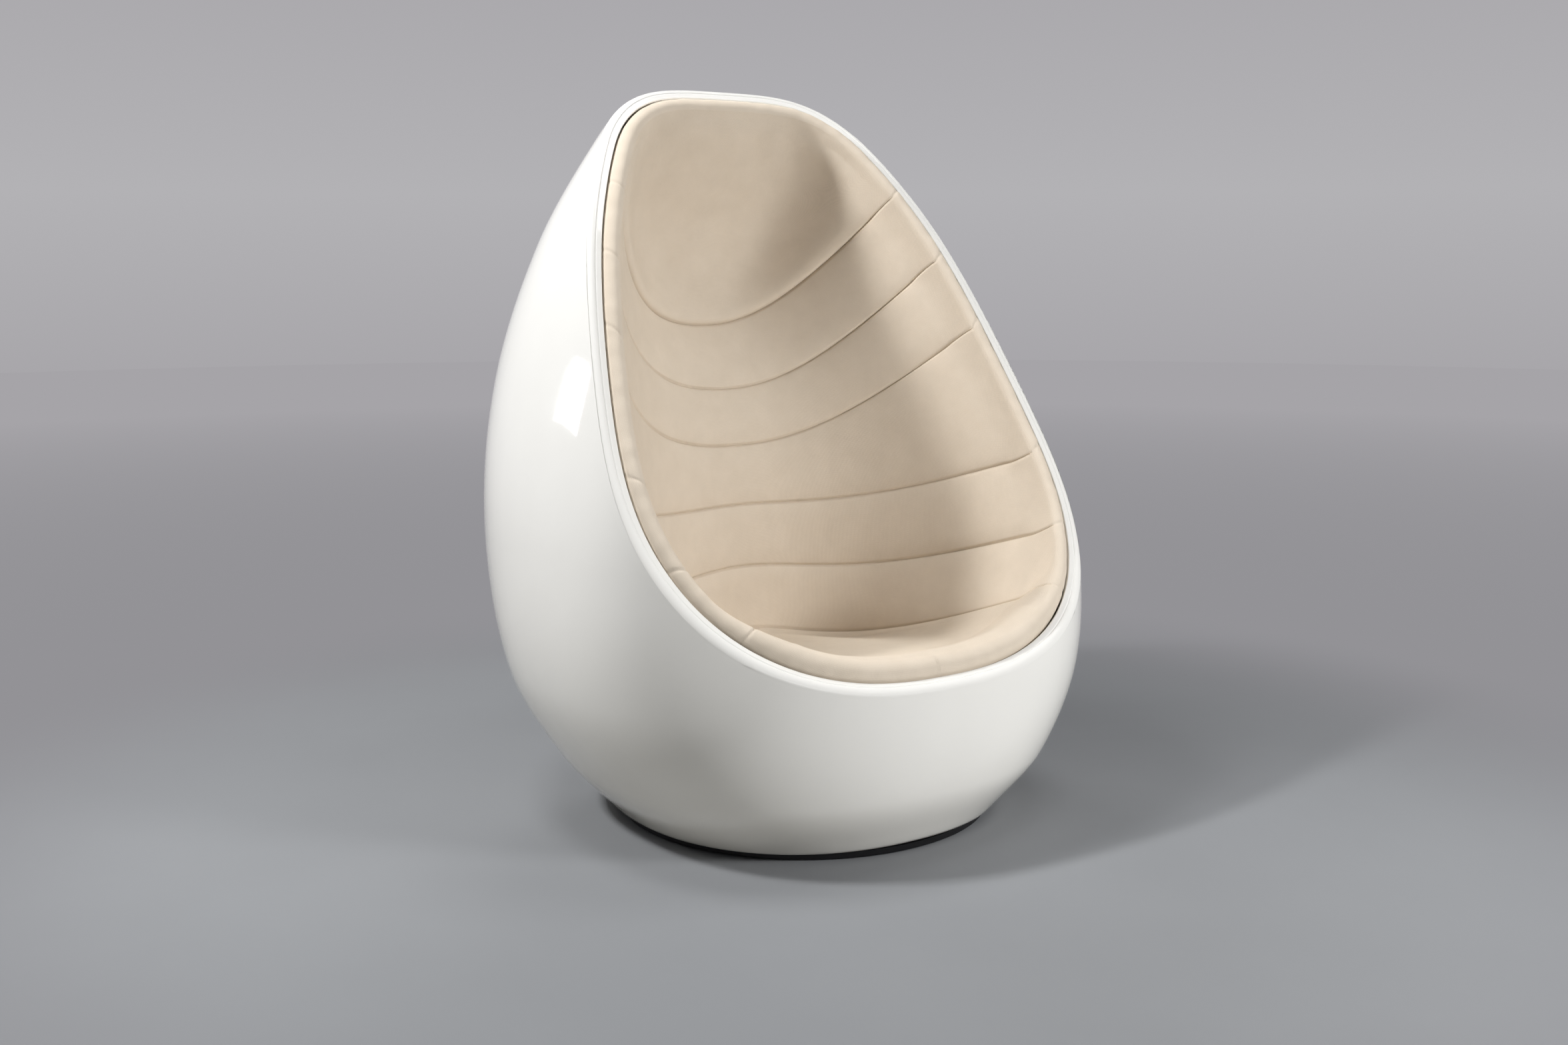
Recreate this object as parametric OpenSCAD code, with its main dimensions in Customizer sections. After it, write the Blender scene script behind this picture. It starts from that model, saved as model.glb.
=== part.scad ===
// Egg-shaped pod chair: a leaning glass-fibre egg with a padded bucket inside,
// turning on a ball ring over a black floor disc. Millimetres, +Z up, front -Y,
// origin on the floor at the swivel axis.

/* [Egg] */
// Height of the highest point of the rim above the floor
egg_top = 1293; // [1250:1:1330]
// Width of the egg where it is widest
egg_w = 1024; // [980:1:1060]
// Reach of the egg behind the swivel axis
egg_back = 602; // [580:1:620]
// Reach of the egg in front of the swivel axis
egg_front = 412; // [395:1:430]
// Height of the front edge of the opening
rim_front_z = 300; // [270:1:340]
// Thickness of the glass-fibre wall
wall = 6; // [4:0.5:8]
// Underside of the egg above the floor
egg_foot_z = 20; // [20:1:20]
// Radius of the opening left in the middle of the egg's floor
foot_hole_r = 60; // [40:5:100]
// How far the rim line swells backwards between its ends
rim_swell = 26; // [10:1:40]
// How strongly the rim line bends forward above and back below
rim_bend = 31; // [10:1:40]

/* [Rim] */
// Width of the glossy lip, from the egg's edge inwards
lip_w = 24; // [20:1:28]
// Rounding of the egg's edge into the lip
edge_r = 9; // [6:1:11]
// Depth of the turned-in edge of the lip
lip_depth = 34; // [28:1:40]
// Shadow gap between the lip and the cloth
shadow_gap = 3; // [2:0.5:4]
// Width of the padded roll inside the gap
roll_w = 32; // [28:1:36]
// Height of the padded roll over the lip
roll_h = 10; // [6:1:14]
// Width of the fuller roll along the seat's front
front_roll_w = 46; // [32:1:54]
// Height of the fuller roll over the lip
front_roll_h = 22; // [10:1:26]
// Depth of the roll's seat below the lip
roll_seat = 20; // [16:1:24]

/* [Upholstery] */
// Thickness of the bucket that carries the pads
liner_t = 6; // [5:0.5:8]
// Thickness of the back pads
back_pad_t = 36; // [30:1:40]
// Thickness of the seat pad
seat_pad_t = 58; // [45:1:62]
// How far each pad swells between its seams
pad_crown = 7; // [4:1:10]
// Depth of each seam below the swell's foot
seam_depth = 7; // [4:1:9]

/* [Base] */
// Radius of the black floor disc
disc_r = 335; // [320:5:340]
// Thickness of the black floor disc
disc_t = 10; // [10:1:10]
// Thickness of the rubber sheet under the disc
sheet_t = 2; // [2:1:2]
// Radius of the circle that the balls run on
ball_track_r = 140; // [140:1:140]
// Radius of a ball
ball_r = 3; // [3:0.5:3]
// Balls in the ring
ball_count = 24; // [18:1:30]
// Bolts through the upper ring, and screws through the lower one
bolt_count = 6; // [4:1:8]
// Thickness of the plywood board inside the egg
board_t = 18; // [15:1:21]
// Radius of the plywood board
board_r = 290; // [260:5:300]
// Thickness of the plywood ribs under the seat
rib_t = 18; // [15:1:21]
// Length of the two long ribs
rib_length = 330; // [300:5:340]

/* [Hidden] */

white_gelcoat = "#f0f0ee";
cream_cloth = "#cdbda7";
black_lacquer = "#0d0d0f";
zinc = "#b4b8bc";
birch = "#d8bf94";
raw_fibre = "#c9c6b4";
brass = "#b08d3c";
black_rubber = "#202022";

columns = 76;
turn = 360;
half_turn = 180;
probe_turn = 1;
probe_z = 1;
probe_share = 0.01;

// The egg's sections as shares of its height, half width, back reach and front reach
egg_section_shares = [
    [0, 0.684, 0.581, 0.825], [0.074, 0.852, 0.668, 0.971], [0.195, 1, 0.791, 1],
    [0.375, 0.988, 0.983, 0.947], [0.578, 0.887, 1, 0.879], [0.777, 0.754, 0.767, 0.782],
    [0.918, 0.58, 0.555, 0.573], [1, 0.434, 0.429, 0.388]];
crown_over = 7;
egg_crown_z = egg_top + crown_over;
widest_y_low = 4;
widest_y_rise = 60;
roundness_low = 2.2;
roundness_rise = 1.4;

// The padded surface on the middle plane, from the seat's front to the head, as shares of
// the egg's back reach and of the opening's height
seat_line_shares = [[-0.332, 0.001], [-0.033, -0.016], [0.199, -0.032], [0.296, -0.036],
    [0.337, -0.008], [0.337, 0.101], [0.346, 0.222], [0.379, 0.342], [0.449, 0.453],
    [0.555, 0.564], [0.608, 0.665], [0.581, 0.765], [0.498, 0.856]];
// Shares of the rim's height at each seam, on the middle plane and at the rim
seam_mid_shares = [0.244, 0.340, 0.432, 0.524, 0.623, 0.750];
seam_rim_shares = [0.080, 0.188, 0.328, 0.564, 0.694, 0.820];
front_arc = 24;
top_arc = 26;
pad_cells = 24;
pad_row_shares = [0, 0.08, 0.26, 0.5, 0.74, 0.92, 1];
wall_square_seat = 4.5;
wall_square_back = 2.6;
bond_gap = 0.8;
bed_gap = 0.4;
pad_end_t = shadow_gap + roll_w - liner_t - bond_gap;

race_low_z = sheet_t + disc_t;
ball_z = race_low_z + (egg_foot_z - race_low_z) / 2;
board_z = egg_foot_z + wall;
run_clear = 0.05;
hole_clear = 0.1;
cut = 1;
race_t = 2;
race_rim_t = 3.5;
race_rim_half_w = 6;
race_flange_w = 29;
race_hole_in = 17;
lower_race_r = ball_track_r - race_rim_half_w - race_flange_w;
upper_race_r = ball_track_r + race_rim_half_w + race_flange_w;
screw_circle = ball_track_r - race_rim_half_w - race_hole_in;
bolt_circle = ball_track_r + race_rim_half_w + race_hole_in;
bolt_r = 3;
bolt_head_r = 5.5;
bolt_head_t = 3;
nut_r = 9;
nut_t = 6;
screw_r = 2;
screw_head_r = 4;
screw_head_t = 2;
screw_depth = 7;
cage_t = 0.5;
cage_half_w = 5;
sheet_inset = 15;
hole_sides = 32;
ball_sides = 48;
ring_sides = 128;
lip_line = 2;

// The long ribs stand between two of the nuts
rib_x = bolt_circle * (1 + cos(turn / bolt_count)) / 2;
rib_front_y = -210;
rib_h = 230;
cross_rib_y = -60;
bucket_middle_share = 0.7;
bucket_cut_h = 150;

function lerp(a, b, k) = a + (b - a) * k;
function clamp01(k) = min(1, max(0, k));
function smooth(k) = let(c = clamp01(k)) c * c * (3 - 2 * c);
function unit(v) = v / norm(v);
function power(v, e) = v <= 0 ? 0 : pow(v, e);

// Reads column c of a table at x, by a cubic through its rows
function row_slope(tab, i, c) = let(lo = max(0, i - 1), hi = min(len(tab) - 1, i + 1))
    (tab[hi][c] - tab[lo][c]) / (tab[hi][0] - tab[lo][0]);
function row_at(tab, x, i = 0) = i >= len(tab) - 2 || x < tab[i + 1][0] ? i : row_at(tab, x, i + 1);
function read_table(tab, x, c) = let(
    i = row_at(tab, x), span = tab[i + 1][0] - tab[i][0], k = (x - tab[i][0]) / span,
    k2 = k * k, k3 = k2 * k)
    (2 * k3 - 3 * k2 + 1) * tab[i][c] + (k3 - 2 * k2 + k) * span * row_slope(tab, i, c)
    + (3 * k2 - 2 * k3) * tab[i + 1][c] + (k3 - k2) * span * row_slope(tab, i + 1, c);

// The egg's plan section at height z
function height_share(z) = (z - egg_foot_z) / (egg_crown_z - egg_foot_z);
function half_width(z) = egg_w / 2 * read_table(egg_section_shares, height_share(z), 1);
function back_y(z) = egg_back * read_table(egg_section_shares, height_share(z), 2);
function front_y(z) = -egg_front * read_table(egg_section_shares, height_share(z), 3);
function widest_y(z) = widest_y_low + widest_y_rise * height_share(z);
function roundness(z) = roundness_low + roundness_rise * height_share(z);
function reach(z, up) = up >= 0 ? back_y(z) - widest_y(z) : widest_y(z) - front_y(z);
function egg_point(z, heading) = let(
    c = cos(heading), s = sin(heading), e = roundness(z),
    r = pow(power(abs(c), e) + power(abs(s), e), -1 / e))
    [half_width(z) * r * c, widest_y(z) + reach(z, s) * r * s, z];

// The rim: turn 0 at the front, 180 at the top, right side first
function rim_share(a) = (1 - cos(a)) / 2;
function rim_z(s) = lerp(rim_front_z, egg_top, s);
function rim_y(s) = lerp(front_y(rim_front_z), back_y(egg_top), s)
    + 4 * rim_swell * s * (1 - s) + 8 * rim_bend * s * (1 - s) * (1 - 2 * s);
function rim_half_width(s) = let(
    z = rim_z(s), y = rim_y(s), d = (y - widest_y(z)) / reach(z, y - widest_y(z)), e = roundness(z))
    half_width(z) * power(1 - power(min(1, abs(d)), e), 1 / e);
function rim_point(a) = let(s = rim_share(a))
    [(sin(a) < 0 ? -1 : 1) * rim_half_width(s), rim_y(s), rim_z(s)];
function rim_heading(a) = let(p = rim_point(a), z = p[2], v = p[1] - widest_y(z))
    atan2(v / reach(z, v), p[0] / half_width(z));

// The rim's own axes: along it, inwards across the opening, and out of the opening
function fold(a) = let(b = a - turn * floor(a / turn)) b > half_turn ? turn - b : b;
tilt_front = 22;
tilt_side = 58;
tilt_top = 52;
side_turn = 80;
function opening_tilt(a) = let(b = fold(a))
    b < side_turn ? lerp(tilt_front, tilt_side, smooth(b / side_turn))
        : lerp(tilt_side, tilt_top, smooth((b - side_turn) / (half_turn - side_turn)));
function rim_along(a) = unit(rim_point(a + probe_turn) - rim_point(a - probe_turn));
function rim_in(a) = let(t = opening_tilt(a)) unit(cross([0, -sin(t), cos(t)], rim_along(a)));
function rim_out(a) = cross(rim_along(a), rim_in(a));
function rim_frame(a) = [rim_point(a), rim_in(a), rim_out(a)];
function at_rim(a, inwards, out) = in_frame(rim_frame(a), inwards, out);
function in_frame(f, inwards, out) = f[0] + inwards * f[1] + out * f[2];

// Turns of the columns round the egg, closer together at the blunt top
warp_from = 80;
warp = 1.45;
function column_turn(j) = let(u = turn * j / columns, b = fold(u), left = half_turn - warp_from,
    a = b < warp_from ? b : half_turn - left * pow((half_turn - b) / left, warp))
    u > half_turn ? turn - a : a;
column_turns = [for (j = [0 : columns - 1]) column_turn(j)];

// A closed solid from a loop of rings, and one from two patches with one outline
module ring_solid(rings) {
    n = len(rings[0]);
    m = len(rings);
    polyhedron(
        points = [for (ring = rings) each ring],
        faces = [for (i = [0 : m - 1], j = [0 : n - 1]) let(
            i2 = (i + 1) % m, j2 = (j + 1) % n)
            each [[i * n + j, i2 * n + j2, i * n + j2], [i * n + j, i2 * n + j, i2 * n + j2]]],
        convexity = 10);
}
module patch_solid(top, under) {
    rows = len(top);
    n = len(top[0]);
    size = rows * n;
    outline = concat([for (j = [0 : n - 1]) j], [for (i = [1 : rows - 1]) i * n + n - 1],
        [for (j = [n - 2 : -1 : 0]) (rows - 1) * n + j], [for (i = [rows - 2 : -1 : 1]) i * n]);
    m = len(outline);
    polyhedron(
        points = concat([for (r = top) each r], [for (r = under) each r]),
        faces = concat(
            [for (i = [0 : rows - 2], j = [0 : n - 2]) let(p = i * n + j)
                each [[p, p + n + 1, p + 1], [p, p + n, p + n + 1]]],
            [for (i = [0 : rows - 2], j = [0 : n - 2]) let(p = size + i * n + j)
                each [[p, p + 1, p + n + 1], [p, p + n + 1, p + n]]],
            [for (k = [0 : m - 1]) let(p = outline[k], q = outline[(k + 1) % m])
                each p < q ? [[p, q, size + q], [p, size + q, size + p]]
                    : [[p, q, size + p], [q, size + q, size + p]]]),
        convexity = 10);
}

// The egg's wall
foot_round = 12;
foot_flat_share = 0.955;
foot_mid_share = 0.985;
foot_mid_rise = 3;
wall_steps = 14;
inner_steps = 9;
wall_bias = 0.93;
function egg_normal(z, heading) = unit(cross(
    egg_point(z, heading + probe_turn) - egg_point(z, heading - probe_turn),
    egg_point(z + probe_z, heading) - egg_point(z - probe_z, heading)));
function wall_down(a) = let(
    p = rim_point(a), q = egg_point(p[2] - probe_z, rim_heading(a)), along = rim_along(a), v = q - p)
    unit(v - (v * along) * along);

module outer_shell() {
    frames = [for (a = column_turns) rim_frame(a)];
    headings = [for (a = column_turns) rim_heading(a)];
    downs = [for (a = column_turns) wall_down(a)];
    all = [0 : columns - 1];
    wall_tops = [for (j = all) (frames[j][0] + edge_r * downs[j])[2]];
    inner_tops = [for (j = all) (frames[j][0] + 3 * edge_r * downs[j])[2]];
    foot = [for (h = headings) egg_point(egg_foot_z, h)];
    foot_low = egg_foot_z + foot_round;
    function foot_ring(share, z) = [for (p = foot) [p[0] * share, p[1] * share, z]];
    function hole_ring(z) = [for (h = headings) [foot_hole_r * cos(h), foot_hole_r * sin(h), z]];
    outer = [for (i = [0 : wall_steps - 1]) [for (j = all)
        egg_point(lerp(foot_low, wall_tops[j], pow(i / wall_steps, wall_bias)), headings[j])]];
    function edge_ring(b) = [for (j = all)
        frames[j][0] + edge_r * ((1 - sin(b)) * downs[j] + (1 - cos(b)) * frames[j][1])];
    function lip_ring(inwards, out) = [for (f = frames) in_frame(f, inwards, out)];
    lip = [for (b = [0 : 30 : 90]) edge_ring(b)];
    turned_in = [lip_ring(lip_w - lip_line, 0), lip_ring(lip_w, -lip_line), lip_ring(lip_w, -lip_depth),
        lip_ring(lip_w - wall, -lip_depth), lip_ring(lip_w - wall, -wall),
        [for (j = all) let(w = downs[j], v = frames[j][1])
            frames[j][0] + (w + v) * wall / norm(cross(w, v)) + edge_r / 3 * w]];
    inner = [for (i = [inner_steps - 1 : -1 : 0]) [for (j = all) let(
        z = lerp(foot_low, inner_tops[j], i / inner_steps))
        egg_point(z, headings[j]) - wall * egg_normal(z, headings[j])]];
    color(white_gelcoat) difference() {
        ring_solid(concat(
            [hole_ring(egg_foot_z), foot_ring(foot_flat_share, egg_foot_z),
                foot_ring(foot_mid_share, egg_foot_z + foot_mid_rise)],
            outer, lip, turned_in, inner,
            [foot_ring(foot_flat_share, board_z), hole_ring(board_z)]));
        bolt_places(bolt_circle) translate([0, 0, race_low_z])
            cylinder(h = board_z, r = bolt_r + hole_clear, $fn = hole_sides);
    }
}

// The bucket: the edge of the cloth round the opening, tabulated once, and the padded
// surface's depth below the chord from the front of the opening to its top
right_frames = [for (a = [0 : half_turn]) rim_frame(a)];
function by_edge(a, inwards, out) = let(
    i = min(half_turn - 1, floor(abs(a))), f = lerp(right_frames[i], right_frames[i + 1], abs(a) - i),
    p = in_frame(f, inwards, out))
    a < 0 ? [-p[0], p[1], p[2]] : p;

// The roll is fuller along the seat's front, up to one turn, and plain from another turn on
fuller_to_turn = 24;
plain_from_turn = 44;
function fullness(a) = 1 - smooth((fold(a) - fuller_to_turn) / (plain_from_turn - fuller_to_turn));
function roll_w_at(a) = lerp(roll_w, front_roll_w, fullness(a));
function roll_h_at(a) = lerp(roll_h, front_roll_h, fullness(a));
function cloth_inset(a) = lip_w + shadow_gap + roll_w_at(a);
cloth_drop = roll_seat + bed_gap;
cloth_edges = [for (a = [0 : half_turn]) in_frame(right_frames[a], cloth_inset(a), -cloth_drop)];
function cloth_edge(a) = let(i = min(half_turn - 1, floor(a)))
    lerp(cloth_edges[i], cloth_edges[i + 1], a - i);
chord_foot = [0, front_y(rim_front_z), rim_front_z];
chord = unit([0, back_y(egg_top), egg_top] - chord_foot);
into = [0, chord[2], -chord[1]];
function on_chord(p) = [(p - chord_foot) * chord, (p - chord_foot) * into];
seat_line = [for (s = seat_line_shares) [0, egg_back * s[0], lerp(rim_front_z, egg_top, s[1])]];
chord_line = [for (p = concat([cloth_edge(0)], seat_line, [cloth_edge(half_turn)])) on_chord(p)];
function share_turn(s) = acos(1 - 2 * clamp01(s));
function bucket_depth(m) = let(q = on_chord(cloth_edge(share_turn(m))))
    max(0, read_table(chord_line, q[0], 1) - q[1]);

// Rows across the bucket, 0 at the seat's front edge and 1 more at each seam. A row has its end's
// share of the rim's height and its share on the middle plane; the first and last follow the rim
seam_count = len(seam_mid_shares);
last_row = seam_count + 1;
front_share = rim_share(front_arc);
top_share = rim_share(half_turn - top_arc);
row_table = [for (i = [0 : last_row]) i == 0 ? [0, front_share, 0]
    : i == last_row ? [last_row, top_share, 1] : [i, seam_rim_shares[i - 1], seam_mid_shares[i - 1]]];
function follow(g) = smooth(g < 1 ? 1 - g : g - seam_count);
function arc_spread(c, w, top) = let(a = w * abs(c))
    sign(c) * cloth_edge(top ? half_turn - a : a)[0] / cloth_edge(top ? half_turn - w : w)[0];
function arc_rise(c, w) = (1 - cos(w * c)) / (1 - cos(w));
// Place of column c, from -1 at the left to 1 at the right, on row g: x and share
function row_place(g, c) = let(
    top = g > 1, w = top ? top_arc : front_arc, k = follow(g),
    e = read_table(row_table, g, 1), m = read_table(row_table, g, 2))
    [cloth_edge(share_turn(e))[0] * (k == 0 ? c : lerp(c, arc_spread(c, w, top), k)),
        m + (e - m) * lerp(c * c, arc_rise(c, w), k), m];
function wall_square(m) = lerp(wall_square_seat, wall_square_back, smooth(2 * m));
function cloth_point(g, c) = let(q = row_place(g, c), e = cloth_edge(share_turn(q[1])))
    [q[0], e[1], e[2]] + into * bucket_depth(q[2]) * (1 - pow(abs(c), wall_square(q[2])));
function cloth_normal(g, c) = unit(cross(
    cloth_point(g, c + probe_share) - cloth_point(g, c - probe_share),
    cloth_point(min(last_row, g + probe_share), c) - cloth_point(max(0, g - probe_share), c)));

function on_edge(g, c) = abs(c) == 1 || g == 0 || g == last_row;
function edge_turn(g, c) = let(q = row_place(g, c), a = share_turn(q[1])) q[0] < 0 ? -a : a;
function swell(v) = pad_crown * (1 - pow(2 * v - 1, 4)) - seam_depth * pow(abs(2 * v - 1), 12);
function pad_depth(g, c) = lerp(pad_end_t,
    g < 1 ? lerp(seat_pad_t, back_pad_t, pow(g, 6)) : back_pad_t, smooth(3 * (1 - abs(c))));
function pad_top(i, v, c) = let(g = i + v, a = edge_turn(g, c)) on_edge(g, c)
    ? by_edge(a, cloth_inset(a), -cloth_drop)
    : cloth_point(g, c) + swell(v) * smooth(4 * (1 - abs(c))) * cloth_normal(g, c);
function pad_under(g, c) = on_edge(g, c)
    ? by_edge(edge_turn(g, c), lip_w + bond_gap + liner_t, -cloth_drop)
    : cloth_point(g, c) - pad_depth(g, c) * cloth_normal(g, c);
function liner_under(g, c) = on_edge(g, c)
    ? by_edge(edge_turn(g, c), lip_w + bond_gap, -cloth_drop)
    : cloth_point(g, c) - (pad_depth(g, c) + liner_t) * cloth_normal(g, c);
pad_columns = [for (j = [0 : pad_cells]) 2 * j / pad_cells - 1];

module pad(i) {
    color(cream_cloth) patch_solid(
        [for (v = pad_row_shares) [for (c = pad_columns) pad_top(i, v, c)]],
        [for (v = pad_row_shares) [for (c = pad_columns) pad_under(i + v, c)]]);
}
module inner_liner() {
    rows = [for (i = [0 : seam_count], v = pad_row_shares) if (i == 0 || v > 0) i + v];
    color(raw_fibre) patch_solid(
        [for (g = rows) [for (c = pad_columns) pad_under(g, c)]],
        [for (g = rows) [for (c = pad_columns) liner_under(g, c)]]);
}
module edge_roll() {
    near = lip_w + shadow_gap;
    frames = [for (a = column_turns) rim_frame(a)];
    all = [0 : columns - 1];
    function foot_line(share) = [for (j = all)
        in_frame(frames[j], near + share * roll_w_at(column_turns[j]), -roll_seat)];
    function arc_line(b) = [for (j = all) let(
        a = column_turns[j], r = roll_w_at(a) / 2)
        in_frame(frames[j], near + r + r * cos(b), roll_h_at(a) - r + r * sin(b))];
    color(cream_cloth) ring_solid(concat(
        [foot_line(0)], [for (b = [half_turn : -30 : 0]) arc_line(b)], [foot_line(1)]));
}

// The plywood under the bucket
module under_bucket() {
    under = [for (i = [0, 1], v = pad_row_shares) if (i + v != 1 || i == 1)
        [for (c = pad_columns) if (abs(c) < bucket_middle_share) liner_under(max(probe_share, i + v), c)]];
    patch_solid([for (r = under) [for (p = r) p + [0, 0, bucket_cut_h]]], under);
}
module seat_rib(x) {
    color(birch) difference() {
        translate([x - rib_t / 2, rib_front_y, board_z + board_t]) cube([rib_t, rib_length, rib_h]);
        under_bucket();
    }
}
module seat_rib_cross() {
    color(birch) difference() {
        translate([-rib_x + rib_t / 2, cross_rib_y, board_z + board_t])
            cube([2 * rib_x - rib_t, rib_t, rib_h]);
        under_bucket();
    }
}
module floor_board() {
    color(birch) difference() {
        translate([0, 0, board_z]) cylinder(h = board_t, r = board_r, $fn = ring_sides);
        translate([0, 0, board_z - cut]) cylinder(h = board_t + 2 * cut, r = foot_hole_r, $fn = ring_sides);
        bolt_places(bolt_circle) translate([0, 0, board_z - cut])
            cylinder(h = board_t + 2 * cut, r = bolt_r + hole_clear, $fn = hole_sides);
    }
}

// The ball ring between the floor disc and the egg
module bolt_places(r) {
    for (k = [0 : bolt_count - 1]) rotate([0, 0, turn * k / bolt_count]) translate([r, 0, 0]) children();
}
module ball_places() {
    for (k = [0 : ball_count - 1])
        rotate([0, 0, turn * k / ball_count]) translate([ball_track_r, 0, ball_z]) children();
}
module race(inner_r, outer_r, flange_z, rim_z, holes_r, hole_r) {
    color(zinc) difference() {
        rotate_extrude($fn = ring_sides) difference() {
            union() {
                translate([inner_r, flange_z]) square([outer_r - inner_r, race_t]);
                translate([ball_track_r - race_rim_half_w, rim_z]) square([2 * race_rim_half_w, race_rim_t]);
            }
            translate([ball_track_r, ball_z]) circle(r = ball_r + run_clear, $fn = ball_sides);
        }
        bolt_places(holes_r) translate([0, 0, flange_z - cut])
            cylinder(h = race_t + 2 * cut, r = hole_r + hole_clear, $fn = hole_sides);
    }
}
module lower_race() {
    race(lower_race_r, ball_track_r + race_rim_half_w, race_low_z, race_low_z, screw_circle, screw_r);
}
module upper_race() {
    race(ball_track_r - race_rim_half_w, upper_race_r, egg_foot_z - race_t, egg_foot_z - race_rim_t,
        bolt_circle, bolt_r);
}
module bearing_balls() {
    color(zinc) ball_places() sphere(r = ball_r, $fn = ball_sides);
}
module ball_cage() {
    color(brass) difference() {
        translate([0, 0, ball_z - cage_t / 2])
            cylinder(h = cage_t, r = ball_track_r + cage_half_w, $fn = ring_sides);
        translate([0, 0, ball_z - cut])
            cylinder(h = 2 * cut, r = ball_track_r - cage_half_w, $fn = ring_sides);
        ball_places() translate([0, 0, -cut]) cylinder(h = 2 * cut, r = ball_r, $fn = hole_sides);
    }
}
module pod_bolts() {
    color(zinc) bolt_places(bolt_circle) translate([0, 0, egg_foot_z - race_t]) {
        translate([0, 0, -bolt_head_t]) cylinder(h = bolt_head_t, r = bolt_head_r, $fn = hole_sides);
        cylinder(h = race_t + wall + board_t + nut_t, r = bolt_r, $fn = hole_sides);
    }
}
module pod_t_nuts() {
    color(zinc) bolt_places(bolt_circle) translate([0, 0, board_z + board_t]) difference() {
        cylinder(h = nut_t, r = nut_r, $fn = hole_sides);
        translate([0, 0, -cut]) cylinder(h = nut_t + 2 * cut, r = bolt_r + hole_clear, $fn = hole_sides);
    }
}
module lower_race_screws() {
    color(zinc) bolt_places(screw_circle) translate([0, 0, race_low_z + race_t]) {
        cylinder(h = screw_head_t, r = screw_head_r, $fn = hole_sides);
        translate([0, 0, -race_t - screw_depth])
            cylinder(h = race_t + screw_depth, r = screw_r, $fn = hole_sides);
    }
}
module floor_disc() {
    color(black_lacquer) difference() {
        translate([0, 0, sheet_t]) cylinder(h = disc_t, r = disc_r, $fn = ring_sides);
        bolt_places(screw_circle) translate([0, 0, race_low_z - screw_depth])
            cylinder(h = screw_depth + cut, r = screw_r, $fn = hole_sides);
    }
}
module floor_sheet() {
    color(black_rubber) cylinder(h = sheet_t, r = disc_r - sheet_inset, $fn = ring_sides);
}

floor_sheet();
floor_disc();
lower_race();
lower_race_screws();
upper_race();
bearing_balls();
ball_cage();
pod_bolts();
pod_t_nuts();
outer_shell();
floor_board();
seat_rib(-rib_x);  // seat_rib_left
seat_rib(rib_x);  // seat_rib_right
seat_rib_cross();
inner_liner();
edge_roll();
pad(0);  // seat_pad
pad(1);  // back_pad_1
pad(2);  // back_pad_2
pad(3);  // back_pad_3
pad(4);  // back_pad_4
pad(5);  // back_pad_5
pad(6);  // head_pad
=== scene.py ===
"""Pod chair: a white gelcoated egg with a channelled cloth bucket, on a low black swivel disc.

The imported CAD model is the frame. The egg's outside, the padded bands and the roll round the
opening are built here again, finer, from the same formulas as the solids that they replace.
Metres, +Z up, the opening faces -Y.
"""
import math

import bpy
import numpy as np
from bpy.props import FloatProperty, IntProperty, PointerProperty, StringProperty
from mathutils import Matrix, Vector


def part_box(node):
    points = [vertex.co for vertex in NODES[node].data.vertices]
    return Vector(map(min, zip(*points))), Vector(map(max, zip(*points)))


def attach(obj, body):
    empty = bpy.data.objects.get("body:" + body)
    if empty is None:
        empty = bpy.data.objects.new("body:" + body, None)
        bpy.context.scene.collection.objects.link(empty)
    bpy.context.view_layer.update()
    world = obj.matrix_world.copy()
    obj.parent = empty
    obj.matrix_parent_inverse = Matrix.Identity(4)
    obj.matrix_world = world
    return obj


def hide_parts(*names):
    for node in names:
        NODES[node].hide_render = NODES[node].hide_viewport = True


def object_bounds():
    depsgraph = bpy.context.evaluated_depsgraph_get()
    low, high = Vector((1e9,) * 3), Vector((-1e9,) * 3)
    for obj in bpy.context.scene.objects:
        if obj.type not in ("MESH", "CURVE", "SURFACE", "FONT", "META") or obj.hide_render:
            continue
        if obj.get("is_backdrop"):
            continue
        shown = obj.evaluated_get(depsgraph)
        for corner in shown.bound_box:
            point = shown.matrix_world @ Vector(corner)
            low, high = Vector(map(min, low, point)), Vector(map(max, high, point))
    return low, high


bl_info = {
    "name": "Pod Chair",
    "version": (1, 0, 0),
    "blender": (4, 5, 0),
    "location": "View3D > Sidebar > Pod Chair",
    "description": "Builds an egg-shaped pod chair round its packed CAD frame",
    "category": "Add Mesh",
}

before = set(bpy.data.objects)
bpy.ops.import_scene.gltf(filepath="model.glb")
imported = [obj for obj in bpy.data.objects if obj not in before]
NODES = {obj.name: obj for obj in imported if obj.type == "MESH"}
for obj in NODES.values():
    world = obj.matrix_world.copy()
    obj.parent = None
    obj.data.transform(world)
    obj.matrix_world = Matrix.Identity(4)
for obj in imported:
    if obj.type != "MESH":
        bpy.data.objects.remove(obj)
CAD_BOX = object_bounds()
FOOT_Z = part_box("outer_shell")[0].z

# The egg's sections as shares of its height, half width, back reach and front reach
EGG_SECTION_SHARES = [
    (0, 0.684, 0.581, 0.825), (0.074, 0.852, 0.668, 0.971), (0.195, 1, 0.791, 1),
    (0.375, 0.988, 0.983, 0.947), (0.578, 0.887, 1, 0.879), (0.777, 0.754, 0.767, 0.782),
    (0.918, 0.58, 0.555, 0.573), (1, 0.434, 0.429, 0.388)]
# The cloth on the middle plane, from the seat's front to the head, as shares of the egg's
# back reach and of the opening's height
SEAT_LINE_SHARES = [
    (-0.332, 0.001), (-0.033, -0.016), (0.199, -0.032), (0.296, -0.036), (0.337, -0.008),
    (0.337, 0.101), (0.346, 0.222), (0.379, 0.342), (0.449, 0.453), (0.555, 0.564),
    (0.608, 0.665), (0.581, 0.765), (0.498, 0.856)]
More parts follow.
